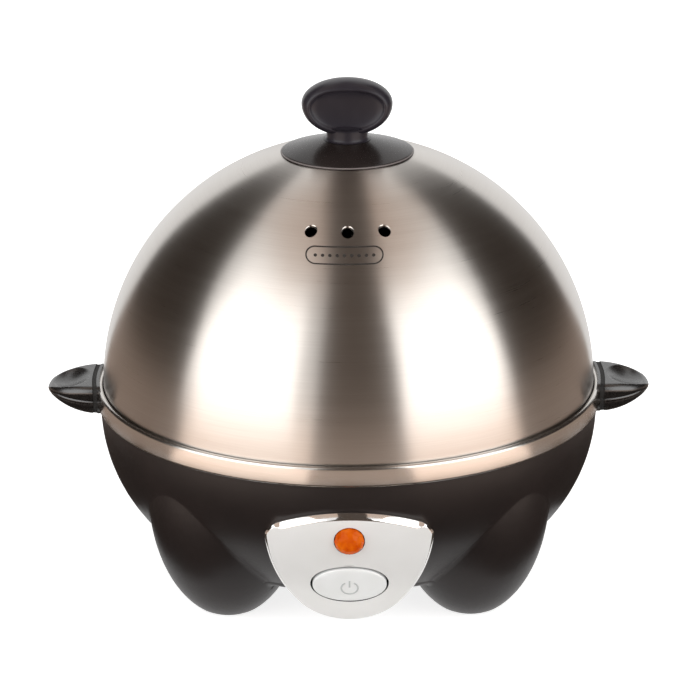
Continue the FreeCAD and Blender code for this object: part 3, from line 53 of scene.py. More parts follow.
def placeCamera(settings):
    tilt = math.radians(settings["elevation"])
    back = Vector((0, -math.cos(tilt), math.sin(tilt)))
    right = Vector((1, 0, 0))
    up = back.cross(right)
    roll = math.radians(settings["roll"])
    rolledRight = right * math.cos(roll) - up * math.sin(roll)
    rolledUp = right * math.sin(roll) + up * math.cos(roll)
    aimX, aimY = settings["aim"]
    forward = (rolledRight * aimX + rolledUp * aimY) / settings["focal"] - back
    forward.normalize()
    across = (rolledRight - forward * rolledRight.dot(forward)).normalized()
    upright = (-forward).cross(across)
    turn = Matrix((across, upright, -forward)).transposed().to_4x4()
    data = bpy.data.cameras.new("camera")
    data.sensor_width = 36
    data.lens = settings["focal"] * 36 / settings["picture"]
    camera = bpy.data.objects.new("camera", data)
    place = Vector(settings["target"]) + back * settings["distance"]
    camera.matrix_world = Matrix.Translation(place) @ turn
    bpy.context.scene.collection.objects.link(camera)
    bpy.context.scene.camera = camera


placeCamera(view)
bpy.context.scene.view_settings.view_transform = "Standard"


def linear(code):
    parts = [int(code[i : i + 2], 16) / 255 for i in (1, 3, 5)]
    return [p / 12.92 if p <= 0.04045 else ((p + 0.055) / 1.055) ** 2.4 for p in parts] + [1.0]


def addNode(tree, kind, settings={}, links={}):
    node = tree.nodes.new("ShaderNode" + kind)
    for name, value in settings.items():
        if name == "stops":
            ramp = node.color_ramp
            while len(ramp.elements) < len(value):
                ramp.elements.new(0.5)
            for stop, (place, code) in zip(ramp.elements, value):
                stop.position = place
                stop.color = linear(code)
        elif isinstance(name, str) and hasattr(node, name):
            setattr(node, name, value)
        else:
            node.inputs[name].default_value = value
    for name, source in links.items():
        tree.links.new(getattr(source, "outputs", [source])[0], node.inputs[name])
    return node


def emptyTree(owner):
    owner.use_nodes = True
    owner.node_tree.nodes.clear()
    return owner.node_tree


studio = {
    "softboxTurn": 52,
    "softboxDistance": 1.3,
    "softboxSize": (1.35, 1.7),
    "softboxHeight": 0.85,
    "softboxGlow": 1.6,
    "topSize": (1.6, 0.7),
    "topPlace": (0.0, 0.75, 1.5),
    "topGlow": 1.6,
    "fill": 0.45,
    "cardReach": 2.4,
    # The middle card arches from the front over the table to the back: its angle from the front
    # horizon, and how far it reaches left and right, as shares of its distance
    "arch": [
        (0, -0.26, 0.42), (20, -0.245, 0.44), (40, -0.2, 0.38), (60, -0.14, 0.23), (75, -0.145, 0.2),
        (90, -0.145, 0.18), (105, -0.14, 0.13), (120, -0.1, 0.1), (135, -0.08, 0.08),
    ],
    # The side cards: turn from the front, then the foot's and the top's height in degrees
    "rightCard": [
        (74, 0, 6), (80, 0, 20), (88, 0, 36), (95, 0, 44), (105, 0, 49), (120, 0, 57), (138, 0, 60),
        (146, 22, 56), (160, 30, 52),
    ],
    "leftCard": [
        (-72, 0, 5), (-80, 0, 20), (-88, 0, 32), (-95, 0, 42), (-105, 0, 49), (-120, 0, 56), (-140, 0, 56),
        (-148, 24, 52), (-162, 32, 46),
    ],
    # Cards on the floor: first and last turn from the front, nearest and furthest reach, glow
    "floorCards": [
        # the first floor card is a painted shadow: a dark ring round the object's foot, seen only in
        # reflections
        (-180, 180, 0.09, 0.19, 0.06),
        (-15, 24, 0.19, 0.4, 0.55),
        (-15, 24, 0.4, 2.4, 0.34),
        (24, 74, 0.19, 2.4, 1.6),
        (-72, -15, 0.19, 2.4, 1.6),
        (74, 140, 0.19, 2.4, 0.36),
        (-142, -72, 0.19, 2.4, 0.36),
    ],
    "ceiling": (1.9, 3.3),  # half width and height of the grey ceiling, in metres
    "archGlow": 0.085,
    "sideGlow": 0.035,
    "ceilingGlow": 0.62,
    "cardTones": ("#FFE0CC", "#FFEBDD"),
}


def aimedLamp(name, place, target, size, glow, mirrored=True):
    data = bpy.data.lights.new(name, "AREA")
    data.shape = "RECTANGLE"
    data.size, data.size_y = size
    data.energy = glow * math.pi * size[0] * size[1]  # this power gives the face the glow asked for
    lamp = bpy.data.objects.new(name, data)
    lamp.location = place
    lamp.rotation_euler = (Vector(target) - Vector(place)).to_track_quat("-Z", "Y").to_euler()
    lamp.visible_camera = False
    lamp.visible_glossy = mirrored
    bpy.context.scene.collection.objects.link(lamp)


def lightStudio(settings):
    world = bpy.data.worlds.new("studio")
    bpy.context.scene.world = world
    tree = emptyTree(world)
    rays = addNode(tree, "LightPath")
    seen = addNode(
        tree,
        "Math",
        {"operation": "MAXIMUM"},
        {0: rays.outputs["Is Camera Ray"], 1: rays.outputs["Is Glossy Ray"]},
    )
    seen = addNode(tree, "Math", {"operation": "MAXIMUM"}, {0: seen, 1: rays.outputs["Is Transmission Ray"]})
    fill = addNode(tree, "Background", {"Color": linear("#FFFFFF"), "Strength": settings["fill"]})
    white = addNode(tree, "Background", {"Color": linear("#FFFFFF"), "Strength": 1.0})
    mixed = addNode(tree, "MixShader", {}, {0: seen, 1: fill, 2: white})
    addNode(tree, "OutputWorld", {}, {"Surface": mixed})
    for side in (-1, 1):
        turn = math.radians(settings["softboxTurn"]) * side
        reach = settings["softboxDistance"]
        place = (math.sin(turn) * reach, -math.cos(turn) * reach, settings["softboxHeight"])
        target = (0, 0, settings["softboxHeight"])
        aimedLamp("softbox", place, target, settings["softboxSize"], settings["softboxGlow"])
    aimedLamp("topLight", settings["topPlace"], (0, 0, 0.1), settings["topSize"], settings["topGlow"], False)


lightStudio(studio)


sweep = {
    "reach": 6,  # half of the floor's side, in metres
    "tones": ("#E2E1DF", "#E8E7E5"),
    "glow": 0.8,  # lifts the paper to white where the camera sees it
}


def makeFloor(settings):
    floorMesh = bpy.data.meshes.new("floor")
    reach = settings["reach"]
    corners = [(-reach, -reach, 0), (reach, -reach, 0), (reach, reach, 0), (-reach, reach, 0)]
    floorMesh.from_pydata(corners, [], [(0, 1, 2, 3)])
    floor = bpy.data.objects.new("floor", floorMesh)
    bpy.context.scene.collection.objects.link(floor)
    # White paper sweep: matt, and shown as white apart from the object's soft shadow
    paper = bpy.data.materials.new("paperSweepMatt")
    tree = emptyTree(paper)
    rays = addNode(tree, "LightPath")
    grain = addNode(tree, "TexNoise", {"Scale": 60.0, "Detail": 3.0})
    low, high = settings["tones"]
    tone = addNode(tree, "ValToRGB", {"stops": [(0.3, low), (0.7, high)]}, {0: grain})
    matt = addNode(tree, "BsdfDiffuse", {}, {"Color": tone})
    glow = addNode(tree, "Emission", {"Color": linear("#FFFFFF"), "Strength": settings["glow"]})
    lit = addNode(tree, "AddShader", {}, {0: matt, 1: glow})
    white = addNode(tree, "Emission", {"Color": linear("#FFFFFF"), "Strength": 1.0})
    forCamera = addNode(tree, "MixShader", {}, {0: rays.outputs["Is Camera Ray"], 1: matt, 2: lit})
    mirrored = addNode(
        tree,
        "Math",
        {"operation": "MAXIMUM"},
        {0: rays.outputs["Is Glossy Ray"], 1: rays.outputs["Is Transmission Ray"]},
    )
    mixed = addNode(tree, "MixShader", {}, {0: mirrored, 1: forCamera, 2: white})
    addNode(tree, "OutputMaterial", {}, {"Surface": mixed})
    floorMesh.materials.append(paper)


makeFloor(sweep)


def makeCard(name, rows, glow, tones):
    # A glowing card between two rows of points: only polished pieces see it
    cardGlow = bpy.data.materials.new(name + "Glowing")
    tree = emptyTree(cardGlow)
    weave = addNode(tree, "TexNoise", {"Scale": 4.0})
    tone = addNode(tree, "ValToRGB", {"stops": [(0.3, tones[0]), (0.7, tones[1])]}, {0: weave})
    light = addNode(tree, "Emission", {"Strength": glow}, {"Color": tone})
    addNode(tree, "OutputMaterial", {}, {"Surface": light})
    mesh = bpy.data.meshes.new(name)
    verts = [point for pair in rows for point in pair]
    faces = [(2 * i, 2 * i + 1, 2 * i + 3, 2 * i + 2) for i in range(len(rows) - 1)]
    mesh.from_pydata(verts, [], faces)
    mesh.materials.append(cardGlow)
    card = bpy.data.objects.new(name, mesh)
    card.visible_camera = False
    card.visible_diffuse = False
    card.visible_shadow = False
    bpy.context.scene.collection.objects.link(card)


def makeCards(settings):
    # Dark cards round and over the table: they give the steel its dark bands
    reach = settings["cardReach"]
    tones = settings["cardTones"]
    rows = []
    for degrees, left, right in settings["arch"]:
        turn = math.radians(degrees)
        y, z = -math.cos(turn) * reach, math.sin(turn) * reach
        rows.append(((left * reach, y, z), (right * reach, y, z)))
    makeCard("archCard", rows, settings["archGlow"], tones)
    for side in ("rightCard", "leftCard"):
        rows = []
        for degrees, foot, top in settings[side]:
            turn = math.radians(degrees)
            x, y = math.sin(turn) * reach, -math.cos(turn) * reach
            rows.append([(x, y, math.tan(math.radians(height)) * reach) for height in (foot, top)])
        makeCard(side, rows, settings["sideGlow"], tones)
    for first, last, near, far, glow in settings["floorCards"]:
        rows = []
        for step in range(13):
            turn = math.radians(first + (last - first) * step / 12)
            x, y = math.sin(turn), -math.cos(turn)
            rows.append([(x * away, y * away, 0.0005) for away in (near, far)])
        makeCard("floorCard", rows, glow, tones)
    half, height = settings["ceiling"]
    rows = [[(x, y, height) for x in (-half, half)] for y in (-half, half)]
    makeCard("ceilingCard", rows, settings["ceilingGlow"], tones)


makeCards(studio)
print("stage: camera, lights and floor are set")


def makeMaterial(name, look):
    # look: two tones, the size of the fine grain and of the slow patches in mm, the grain's
    # depth in mm, the roughness from and to, and the shader's own settings
    material = bpy.data.materials.new(name)
    tree = emptyTree(material)
    place = addNode(tree, "TexCoord").outputs["Object"]
    if "stretch" in look:
        place = addNode(tree, "Mapping", {"Scale": look["stretch"]}, {"Vector": place})
    patches = addNode(tree, "TexNoise", {"Scale": 1000 / look["patch"], "Detail": 2.0}, {"Vector": place})
    grain = addNode(tree, "TexNoise", {"Scale": 1000 / look["grain"], "Detail": 3.0}, {"Vector": place})
    low, high = look["tones"]
    tone = addNode(tree, "ValToRGB", {"stops": [(0.3, low), (0.7, high)]}, {0: patches})
    smooth, rough = look["roughness"]
    roughness = addNode(tree, "MapRange", {1: 0.3, 2: 0.7, 3: smooth, 4: rough}, {0: grain})
    bump = addNode(tree, "Bump", {"Strength": 1.0, "Distance": look["depth"] * mm}, {"Height": grain})
    shader = addNode(
        tree,
        "BsdfPrincipled",
        look.get("shader", {}),
        {"Base Color": tone, "Roughness": roughness, "Normal": bump},
    )
    addNode(tree, "OutputMaterial", {}, {"Surface": shader})
    return material


def makeBrushed(name, look):
    # Steel brushed while it spins: rings of fine lines round the axis. A line's place is its
    # distance along the profile, from the pole of a ball or from the axis and the floor.
    material = bpy.data.materials.new(name)
    tree = emptyTree(material)
    place = addNode(tree, "TexCoord").outputs["Object"]
    offset = addNode(
        tree,
        "VectorMath",
        {"operation": "SUBTRACT", 1: (0, 0, look["centre"] * mm)},
        {0: place},
    )
    parts = addNode(tree, "SeparateXYZ", {}, {0: offset})
    if look["ball"]:
        unit = addNode(tree, "VectorMath", {"operation": "NORMALIZE"}, {0: offset})
        rise = addNode(tree, "SeparateXYZ", {}, {0: unit})
        lean = addNode(tree, "Math", {"operation": "ARCCOSINE"}, {0: rise.outputs["Z"]})
        along = addNode(tree, "Math", {"operation": "MULTIPLY", 1: look["ball"] * mm}, {0: lean})
    else:
        flat = addNode(tree, "VectorMath", {"operation": "MULTIPLY", 1: (1, 1, 0)}, {0: offset})
        reach = addNode(tree, "VectorMath", {"operation": "LENGTH"}, {0: flat})
        along = addNode(
            tree,
            "Math",
            {"operation": "ADD"},
            {0: reach.outputs["Value"], 1: parts.outputs["Z"]},
        )
    stroke = look["stroke"] * mm
    pitch = look["pitch"] * mm
    across = addNode(tree, "Math", {"operation": "MULTIPLY", 1: 1 / pitch}, {0: along})
    strokeX = addNode(tree, "Math", {"operation": "MULTIPLY", 1: 1 / stroke}, {0: parts.outputs["X"]})
    strokeY = addNode(tree, "Math", {"operation": "MULTIPLY", 1: 1 / stroke}, {0: parts.outputs["Y"]})
    lines = addNode(tree, "CombineXYZ", {}, {0: strokeX, 1: strokeY, 2: across})
    brush = addNode(tree, "TexNoise", {"Scale": 1.0, "Detail": 4.0, "Roughness": 0.6}, {"Vector": lines})
    # The same lines drawn out: broad faint rings under the fine ones
    wide = addNode(tree, "VectorMath", {"operation": "MULTIPLY", 1: (0.4, 0.4, 0.12)}, {0: lines})
    bands = addNode(tree, "TexNoise", {"Scale": 1.0, "Detail": 2.0}, {"Vector": wide})
    both = addNode(tree, "Mix", {"data_type": "FLOAT", 0: 0.35}, {2: brush, 3: bands})
    low, high = look["tones"]
    tone = addNode(tree, "ValToRGB", {"stops": [(0.3, low), (0.7, high)]}, {0: both})
    smooth, rough = look["roughness"]
    roughness = addNode(tree, "MapRange", {1: 0.3, 2: 0.7, 3: smooth, 4: rough}, {0: both})
    bump = addNode(tree, "Bump", {"Strength": 1.0, "Distance": look["depth"] * mm}, {"Height": brush})
    ringWay = addNode(tree, "Tangent", {"direction_type": "RADIAL", "axis": "Z"})
    shader = addNode(
        tree,
        "BsdfPrincipled",
        {"Metallic": 1.0, "Anisotropic": look["streak"], "Anisotropic Rotation": look["turn"]},
        {"Base Color": tone, "Roughness": roughness, "Normal": bump, "Tangent": ringWay},
    )
    addNode(tree, "OutputMaterial", {}, {"Surface": shader})
    return material


# Stainless steel, spun and brushed: the lines round it draw every reflection up and down
domeSteel = makeBrushed("stainlessSteelBrushedRound", {
    "centre": 64,  # the ball's centre and radius are the dome's
    "ball": 81,
    "pitch": 0.35,
    "stroke": 26,
    "tones": ("#C6C0BA", "#CFCAC4"),
    "roughness": (0.27, 0.31),
    "depth": 0.0015,
    "streak": 0.85,
    "turn": 0.25,
})
# Stainless steel, rolled and lightly brushed: brighter than the dome, with sharper lights
bandSteel = makeBrushed("stainlessSteelRolled", {
    "centre": 0,
    "ball": 0,
    "pitch": 0.3,
    "stroke": 30,
    "tones": ("#D2CDC7", "#DBD7D2"),
    "roughness": (0.2, 0.23),
    "depth": 0.0003,
    "streak": 0.7,
    "turn": 0.25,
})
# Stainless steel painted near black where the lid sits: painted shade, the dark line of the gap under the
# lid's edge
gapShadeSteel = makeMaterial("stainlessSteelPaintedGapShade", {
    "tones": ("#1C1917", "#262220"),
    "patch": 6,
    "grain": 0.4,
    "depth": 0.002,
    "roughness": (0.55, 0.65),
    "shader": {"Metallic": 0.6},
})
# Stainless sheet, pressed: plain mill finish with a faint grain
rackSteel = makeMaterial("stainlessSheetPressed", {
    "tones": ("#BDB8B2", "#CFCAC5"),
    "patch": 18,
    "grain": 0.6,
    "depth": 0.003,
    "roughness": (0.2, 0.3),
    "shader": {"Metallic": 1.0},
})
# Polypropylene, moulded with a fine spark texture: satin black with a brown cast
shellPlastic = makeMaterial("polypropyleneFineTexture", {
    "tones": ("#1D1615", "#251D1B"),
    "patch": 30,
    "grain": 0.5,
    "depth": 0.006,
    "roughness": (0.36, 0.44),
    "shader": {"IOR": 1.49, "Specular IOR Level": 0.35},
})
# Phenolic, moulded and polished: near black with clear sharp lights
glossPlastic = makeMaterial("phenolicPolished", {
    "tones": ("#0F0D0D", "#151212"),
    "patch": 20,
    "grain": 1.2,
    "depth": 0.002,
    "roughness": (0.25, 0.31),
    "shader": {"IOR": 1.75, "Specular IOR Level": 0.6},
})
# Phenolic, moulded and left satin: soft grey lights on the knob
knobPlastic = makeMaterial("phenolicSatin", {
    "tones": ("#28242A", "#322E34"),
    "patch": 12,
    "grain": 0.4,
    "depth": 0.004,
    "roughness": (0.28, 0.36),
    "shader": {"IOR": 1.56, "Specular IOR Level": 0.25},
})
# The same phenolic, on the disc: a little browner and smoother
discPlastic = makeMaterial("phenolicSatinDisc", {
    "tones": ("#221C1A", "#2A2321"),
    "patch": 14,
    "grain": 0.4,
    "depth": 0.002,
    "roughness": (0.22, 0.28),
    "shader": {"IOR": 1.56, "Specular IOR Level": 0.25},
})
# The disc's chamfer, painted light grey: a painted highlight, a thin light line round it
discEdgeHighlight = makeMaterial("phenolicPaintedEdgeHighlight", {
    "tones": ("#6E6664", "#7C7472"),
    "patch": 6,
    "grain": 0.3,
    "depth": 0.002,
    "roughness": (0.4, 0.5),
    "shader": {"IOR": 1.56},
})
# ABS with satin chrome plate: pale grey and softly mirrored
plateChrome = makeMaterial("absSatinChrome", {
    "tones": ("#F3F1EE", "#F8F6F4"),
    "patch": 16,
    "grain": 0.35,
    "depth": 0.002,
    "roughness": (0.34, 0.4),
    "shader": {"Metallic": 0.15},
})
# ABS with bright chrome plate on the panel's raised edge
edgeChrome = makeMaterial("absBrightChrome", {
    "tones": ("#E4E2DF", "#ECEAE8"),
    "patch": 16,
    "grain": 0.8,
    "depth": 0.001,
    "roughness": (0.05, 0.09),
    "shader": {"Metallic": 1.0},
})
# ABS sprayed silver white: the button's soft pearl look
buttonPaint = makeMaterial("absSprayedSilver", {
    "tones": ("#F4F4F2", "#FAFAF9"),
    "patch": 8,
    "grain": 0.25,
    "depth": 0.002,
    "roughness": (0.3, 0.38),
    "shader": {"Metallic": 0.05},
})
# The same ABS under a thin grey print: the standby sign
signPaint = makeMaterial("absPrintedGrey", {
    "tones": ("#C0C1C0", "#CCCDCC"),
    "patch": 3,
    "grain": 0.25,
    "depth": 0.002,
    "roughness": (0.4, 0.5),
    "shader": {"IOR": 1.53},
})
# Acrylic, moulded amber with a cut face: bright orange with darker edges
amberAcrylic = makeMaterial("acrylicAmberFaceted", {
    "tones": ("#D04C04", "#EA6E0A"),
    "patch": 3,
    "grain": 0.8,
    "depth": 0.003,
    "roughness": (0.1, 0.18),
    "shader": {"IOR": 1.49, "Specular IOR Level": 0.12},
})
# Soda glass of the little lamp
lampGlass = makeMaterial("sodaGlass", {
    "tones": ("#E9EDEE", "#F4F7F8"),
    "patch": 4,
    "grain": 1.0,
    "depth": 0.001,
    "roughness": (0.02, 0.05),
    "shader": {"IOR": 1.52, "Transmission Weight": 0.9},
})
# Steel screws and brackets, zinc plated: bluish grey with a fine crystal mottle
zincSteel = makeMaterial("steelZincPlated", {
    "tones": ("#A9ADB0", "#C0C3C6"),
    "patch": 2.5,
    "grain": 0.3,
    "depth": 0.003,
    "roughness": (0.28, 0.4),
    "shader": {"Metallic": 1.0},
})
# Aluminium sheet, drawn into a dish: pale and soft, with faint rings
dishAluminium = makeBrushed("aluminiumDrawnDish", {
    "centre": 0,
    "ball": 0,
    "pitch": 0.8,
    "stroke": 40,
    "tones": ("#C3C4C6", "#D6D7D8"),
    "roughness": (0.24, 0.34),
    "depth": 0.004,
    "streak": 0.4,
    "turn": 0.25,
})
# Aluminium, gravity cast: dull with a grain like fine sand
castAluminium = makeMaterial("aluminiumCast", {
    "tones": ("#9A9B9C", "#ADAEAF"),
    "patch": 6,
    "grain": 0.5,
    "depth": 0.02,
    "roughness": (0.42, 0.56),
    "shader": {"Metallic": 1.0},
})
# Stainless tube of the heater, annealed: straw to grey tints
heaterSteel = makeMaterial("stainlessTubeAnnealed", {
    "tones": ("#8C8378", "#A49B90"),
    "patch": 9,
    "grain": 0.5,
    "depth": 0.004,
    "roughness": (0.34, 0.46),
    "shader": {"Metallic": 1.0},
})
# Silicone, moulded: translucent red-brown, soft and dull
redSilicone = makeMaterial("siliconeMouldedRed", {
    "tones": ("#8E2F22", "#9C3A2B"),
    "patch": 8,
    "grain": 0.4,
    "depth": 0.004,
    "roughness": (0.5, 0.62),
    "shader": {"IOR": 1.42, "Subsurface Weight": 0.15, "Subsurface Scale": 0.001},
})
# EPDM rubber, moulded: matt black with a dusty bloom
padRubber = makeMaterial("epdmRubberMoulded", {
    "tones": ("#1A1A1A", "#262524"),
    "patch": 4,
    "grain": 0.35,
    "depth": 0.012,
    "roughness": (0.62, 0.78),
    "shader": {"IOR": 1.5},
})
# Nylon with glass fibre, moulded: dark grey with a speckle of fibres
fibreNylon = makeMaterial("nylonGlassFilled", {
    "tones": ("#26282A", "#33363A"),
    "patch": 3,
    "grain": 0.3,
    "depth": 0.008,
    "roughness": (0.42, 0.55),
    "shader": {"IOR": 1.53},
})
# Brass, turned: warm yellow with a slight tarnish
turnedBrass = makeMaterial("brassTurned", {
    "tones": ("#C9A55B", "#D9B873"),
    "patch": 3,
    "grain": 0.3,
    "depth": 0.002,
    "roughness": (0.22, 0.34),
    "shader": {"Metallic": 1.0},
})
# Steatite, pressed and fired: chalky white with tiny pits
blockSteatite = makeMaterial("steatiteFired", {
    "tones": ("#E6E1D6", "#EFEBE2"),
    "patch": 5,
    "grain": 0.4,
    "depth": 0.01,
    "roughness": (0.55, 0.7),
    "shader": {"IOR": 1.6},
})
# Silicone rubber insulation on the wires: smooth, slightly waxy
leadSilicone = makeMaterial("siliconeLeadJacket", {
    "tones": ("#B9B4AA", "#C8C3BA"),
    "patch": 5,
    "grain": 0.3,
    "depth": 0.002,
    "roughness": (0.4, 0.5),
    "shader": {"IOR": 1.42},
})

finishes = {
    "black_plastic": shellPlastic,
    "brushed_steel": domeSteel,
    "zinc_steel": zincSteel,
    "silicone": redSilicone,
    "dish_aluminium": dishAluminium,
    "heater_sheath": heaterSteel,
    "dark_plastic": fibreNylon,
    "brass_parts": turnedBrass,
    "foot_rubber": padRubber,
    "glossy_black": glossPlastic,
    "panel_chrome": plateChrome,
    "button_silver": buttonPaint,
    "amber_lens": amberAcrylic,
    "lamp_glass": lampGlass,
    "block_ceramic": blockSteatite,
    "rack_steel": rackSteel,
    "lead_jacket": leadSilicone,
}
print("materials: made", len(finishes), "finishes")
for name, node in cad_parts.items():
    slotName = node.data.materials[0].name
    node.material_slots[0].material = finishes[slotName]
for name in ("knob_escutcheon", "lid_knob"):
    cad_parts[name].material_slots[0].material = knobPlastic
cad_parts["rim_band"].material_slots[0].material = bandSteel
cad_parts["heat_spreader"].material_slots[0].material = castAluminium
print("materials: every CAD piece has its finish")


def between(value, low, high):
    share = min(max((value - low) / (high - low), 0), 1)
    return share * share * (3 - 2 * share)


def makePiece(name, verts, faces, material, crease=35):
    mesh = bpy.data.meshes.new(name)
    mesh.from_pydata([[part * mm for part in vert] for vert in verts], [], faces)
    work = bmesh.new()
    work.from_mesh(mesh)
    bmesh.ops.remove_doubles(work, verts=work.verts, dist=0.0005 * mm)
    bmesh.ops.recalc_face_normals(work, faces=work.faces)
    work.to_mesh(mesh)
    work.free()
    mesh.polygons.foreach_set("use_smooth", [True] * len(mesh.polygons))
    mesh.set_sharp_from_angle(angle=math.radians(crease))
    mesh.materials.append(material)
    piece = bpy.data.objects.new(name, mesh)
    bpy.context.scene.collection.objects.link(piece)
    return piece


def rounded(corners, steps=6):
    # A closed outline from corners of (x, y, radius)
    outline = []
    for i, (x, y, radius) in enumerate(corners):
        here = Vector((x, y))
        before = (Vector(corners[i - 1][:2]) - here).normalized()
        after = (Vector(corners[(i + 1) % len(corners)][:2]) - here).normalized()
        if radius <= 0:
            outline.append(here)
            continue
        half = before.angle(after) / 2
        reach = radius / math.tan(half)
        centre = here + (before + after).normalized() * (radius / math.sin(half))
        start, end = here + before * reach - centre, here + after * reach - centre
        outline += [centre + start.slerp(end, step / steps) for step in range(steps + 1)]
    return outline


def arcThrough(start, middle, end, steps):
    # Points on the arc through three points, without the last one
    (ax, ay), (bx, by), (cx, cy) = start, middle, end
    d = 2 * (ax * (by - cy) + bx * (cy - ay) + cx * (ay - by))
    a, b, c = ax * ax + ay * ay, bx * bx + by * by, cx * cx + cy * cy
    x = (a * (by - cy) + b * (cy - ay) + c * (ay - by)) / d
    y = (a * (cx - bx) + b * (ax - cx) + c * (bx - ax)) / d
    radius = math.hypot(ax - x, ay - y)
    first = math.atan2(ay - y, ax - x)
    last = math.atan2(cy - y, cx - x)
    passed = math.atan2(by - y, bx - x)
    turn = (last - first) % math.tau
    if (passed - first) % math.tau > turn:
        turn -= math.tau
    points = []
    for i in range(steps):
        angle = first + turn * i / steps
        points.append(Vector((x + radius * math.cos(angle), y + radius * math.sin(angle))))
    return points


def spin(outline, segments=192):
    # A closed outline of (radius, height) turned round the axis
    verts, faces = [], []
    count = len(outline)
    for i in range(segments):
        turn = math.tau * i / segments
        for radius, height in outline:
            verts.append((radius * math.cos(turn), radius * math.sin(turn), height))
    for i in range(segments):
        here, there = i * count, (i + 1) % segments * count
        for j in range(count):
            k = (j + 1) % count
            faces.append((here + j, there + j, there + k, here + k))
    return verts, faces


def loft(rings):
    # Rings of equal count joined in turn, with a cap on each end
    count = len(rings[0])
    verts = [tuple(point) for ring in rings for point in ring]
    faces = []
    for i in range(len(rings) - 1):
        here, there = i * count, (i + 1) * count
        for j in range(count):
            k = (j + 1) % count
            faces.append((here + j, here + k, there + k, there + j))
    for base in (0, (len(rings) - 1) * count):
        middle = sum((Vector(verts[base + j]) for j in range(count)), Vector((0, 0, 0))) / count
        verts.append(tuple(middle))
        for j in range(count):
            faces.append((base + j, base + (j + 1) % count, len(verts) - 1))
    return verts, faces


def joined(forms):
    # Several forms of (verts, faces) as one
    verts, faces = [], []
    for formVerts, formFaces in forms:
        first = len(verts)
        verts += formVerts
        faces += [tuple(first + corner for corner in face) for face in formFaces]
    return verts, faces


def paintFaces(piece, faces, index):
    # Gives another of the piece's materials to the faces named by their corners
    chosen = {tuple(sorted(face)) for face in faces}
    for polygon in piece.data.polygons:
        if tuple(sorted(polygon.vertices)) in chosen:
            polygon.material_index = index


def bake(piece):
    # Applies the piece's modifiers
    depsgraph = bpy.context.evaluated_depsgraph_get()
    mesh = bpy.data.meshes.new_from_object(piece.evaluated_get(depsgraph))
    piece.modifiers.clear()
    piece.data = mesh


def carve(piece, tools):
    # Cuts closed forms of (verts, faces) out of a piece
    tool = makePiece("tool", *joined(tools), piece.data.materials[0])
    change = piece.modifiers.new("carve", "BOOLEAN")
    change.object = tool
    change.operation = "DIFFERENCE"
    change.solver = "EXACT"
    bake(piece)
    bpy.data.objects.remove(tool)


def trueNormals(piece, exact):
    # Gives the corners of a shaped surface the normals of the form it was drawn from
    mesh = piece.data
    normals = [Vector(corner.vector) for corner in mesh.corner_normals]
    for polygon in mesh.polygons:
        for loop in polygon.loop_indices:
            place = mesh.vertices[mesh.loops[loop].vertex_index].co / mm
            wanted = exact(place)
            if wanted is not None and wanted.dot(polygon.normal) > 0.9:
                normals[loop] = wanted
    mesh.normals_split_custom_set(normals)


def fit(piece, body, slotName, *nodes):
    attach(piece, body)
    if nodes:
        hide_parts(*nodes)


dome = {
    "radius": 81.0,
    "wall": 0.8,
    "centre": 64.0,
    "skirt": 62.2,
    "hem": (0.45, 1.4),  # how far the foot is rolled in, and over which height, in mm
    "bore": 2.9,
    "edge": 0.3,
    "ventRadius": 2.0,
    "ventReach": 47.3,
    "ventTurns": (-14, 0, 14),
}


def makeDome(s):
    outer, inner = s["radius"], s["radius"] - s["wall"]
    rows = 72
    outline = []
    for radius, order in ((outer, range(rows + 1)), (inner, reversed(range(rows + 1)))):
        for i in order:
            lean = (math.pi / 2 - math.asin(s["bore"] / radius)) * i / rows
            outline.append((radius * math.cos(lean), s["centre"] + radius * math.sin(lean)))
    rolled, rise = s["hem"]
    foot = [(inner - rolled, s["skirt"], s["edge"]), (outer - rolled, s["skirt"], s["edge"])]
    outline += rounded(foot + [(outer, s["centre"], 0), (inner, s["centre"], 0)])[:-2]
    for i in reversed(range(1, 9)):
        turn = math.pi / 2 * i / 9
        outline.append((outer - rolled * (1 - math.cos(turn)), s["centre"] - rise * math.sin(turn)))
    verts, faces = spin(outline, 256)
    piece = makePiece("steelDome", verts, faces, domeSteel)
    tools = []
    for degrees in s["ventTurns"]:
        turn = math.radians(degrees)
        x, y = math.sin(turn) * s["ventReach"], -math.cos(turn) * s["ventReach"]
        steps = [math.tau * i / 40 for i in range(40)]
        ring = [(x + s["ventRadius"] * math.cos(a), y + s["ventRadius"] * math.sin(a)) for a in steps]
        tools.append(loft([[(*point, s["centre"] + height) for point in ring] for height in (40, 90)]))
    carve(piece, tools)

    def ball(place):
        away = place - Vector((0, 0, s["centre"]))
        if place.z < s["centre"] - 0.01:
            return None
        if abs(away.length - outer) < 0.05:
            return away.normalized()
        if abs(away.length - inner) < 0.05:
            return -away.normalized()
        return None

    trueNormals(piece, ball)
    fit(piece, "lid", "brushed_steel", "lid_dome")


makeDome(dome)

# Steel darkened by electrolytic marking: a dull grey-black line
etchedSteel = makeMaterial("steelElectroEtched", {
    "tones": ("#2B2725", "#3A3532"),
    "patch": 2,
    "grain": 0.3,
    "depth": 0.001,
    "roughness": (0.5, 0.62),
    "shader": {"Metallic": 0.3},
})
# Mark etched on the dome under the vents: a plain long outline with dots in it
mark = {
    "halfWidth": 11.95,
    "halfHeight": 2.08,
    "aside": -1.05,  # the mark sits a little to the left of the vents
    "middle": 60.25,  # height of the mark's middle over the ball's centre, in mm
    "squash": 0.72,  # the ball's slope shows round ends this much lower than they are wide
    "line": 0.24,
    "lift": 0.02,
    "dots": 9,
    "dotRadius": 0.55,
}


def onBall(x, z, lift):
    reach = dome["radius"] + lift
    y = -math.sqrt(max(reach * reach - x * x - z * z, 0))
    return (x, y, dome["centre"] + z)


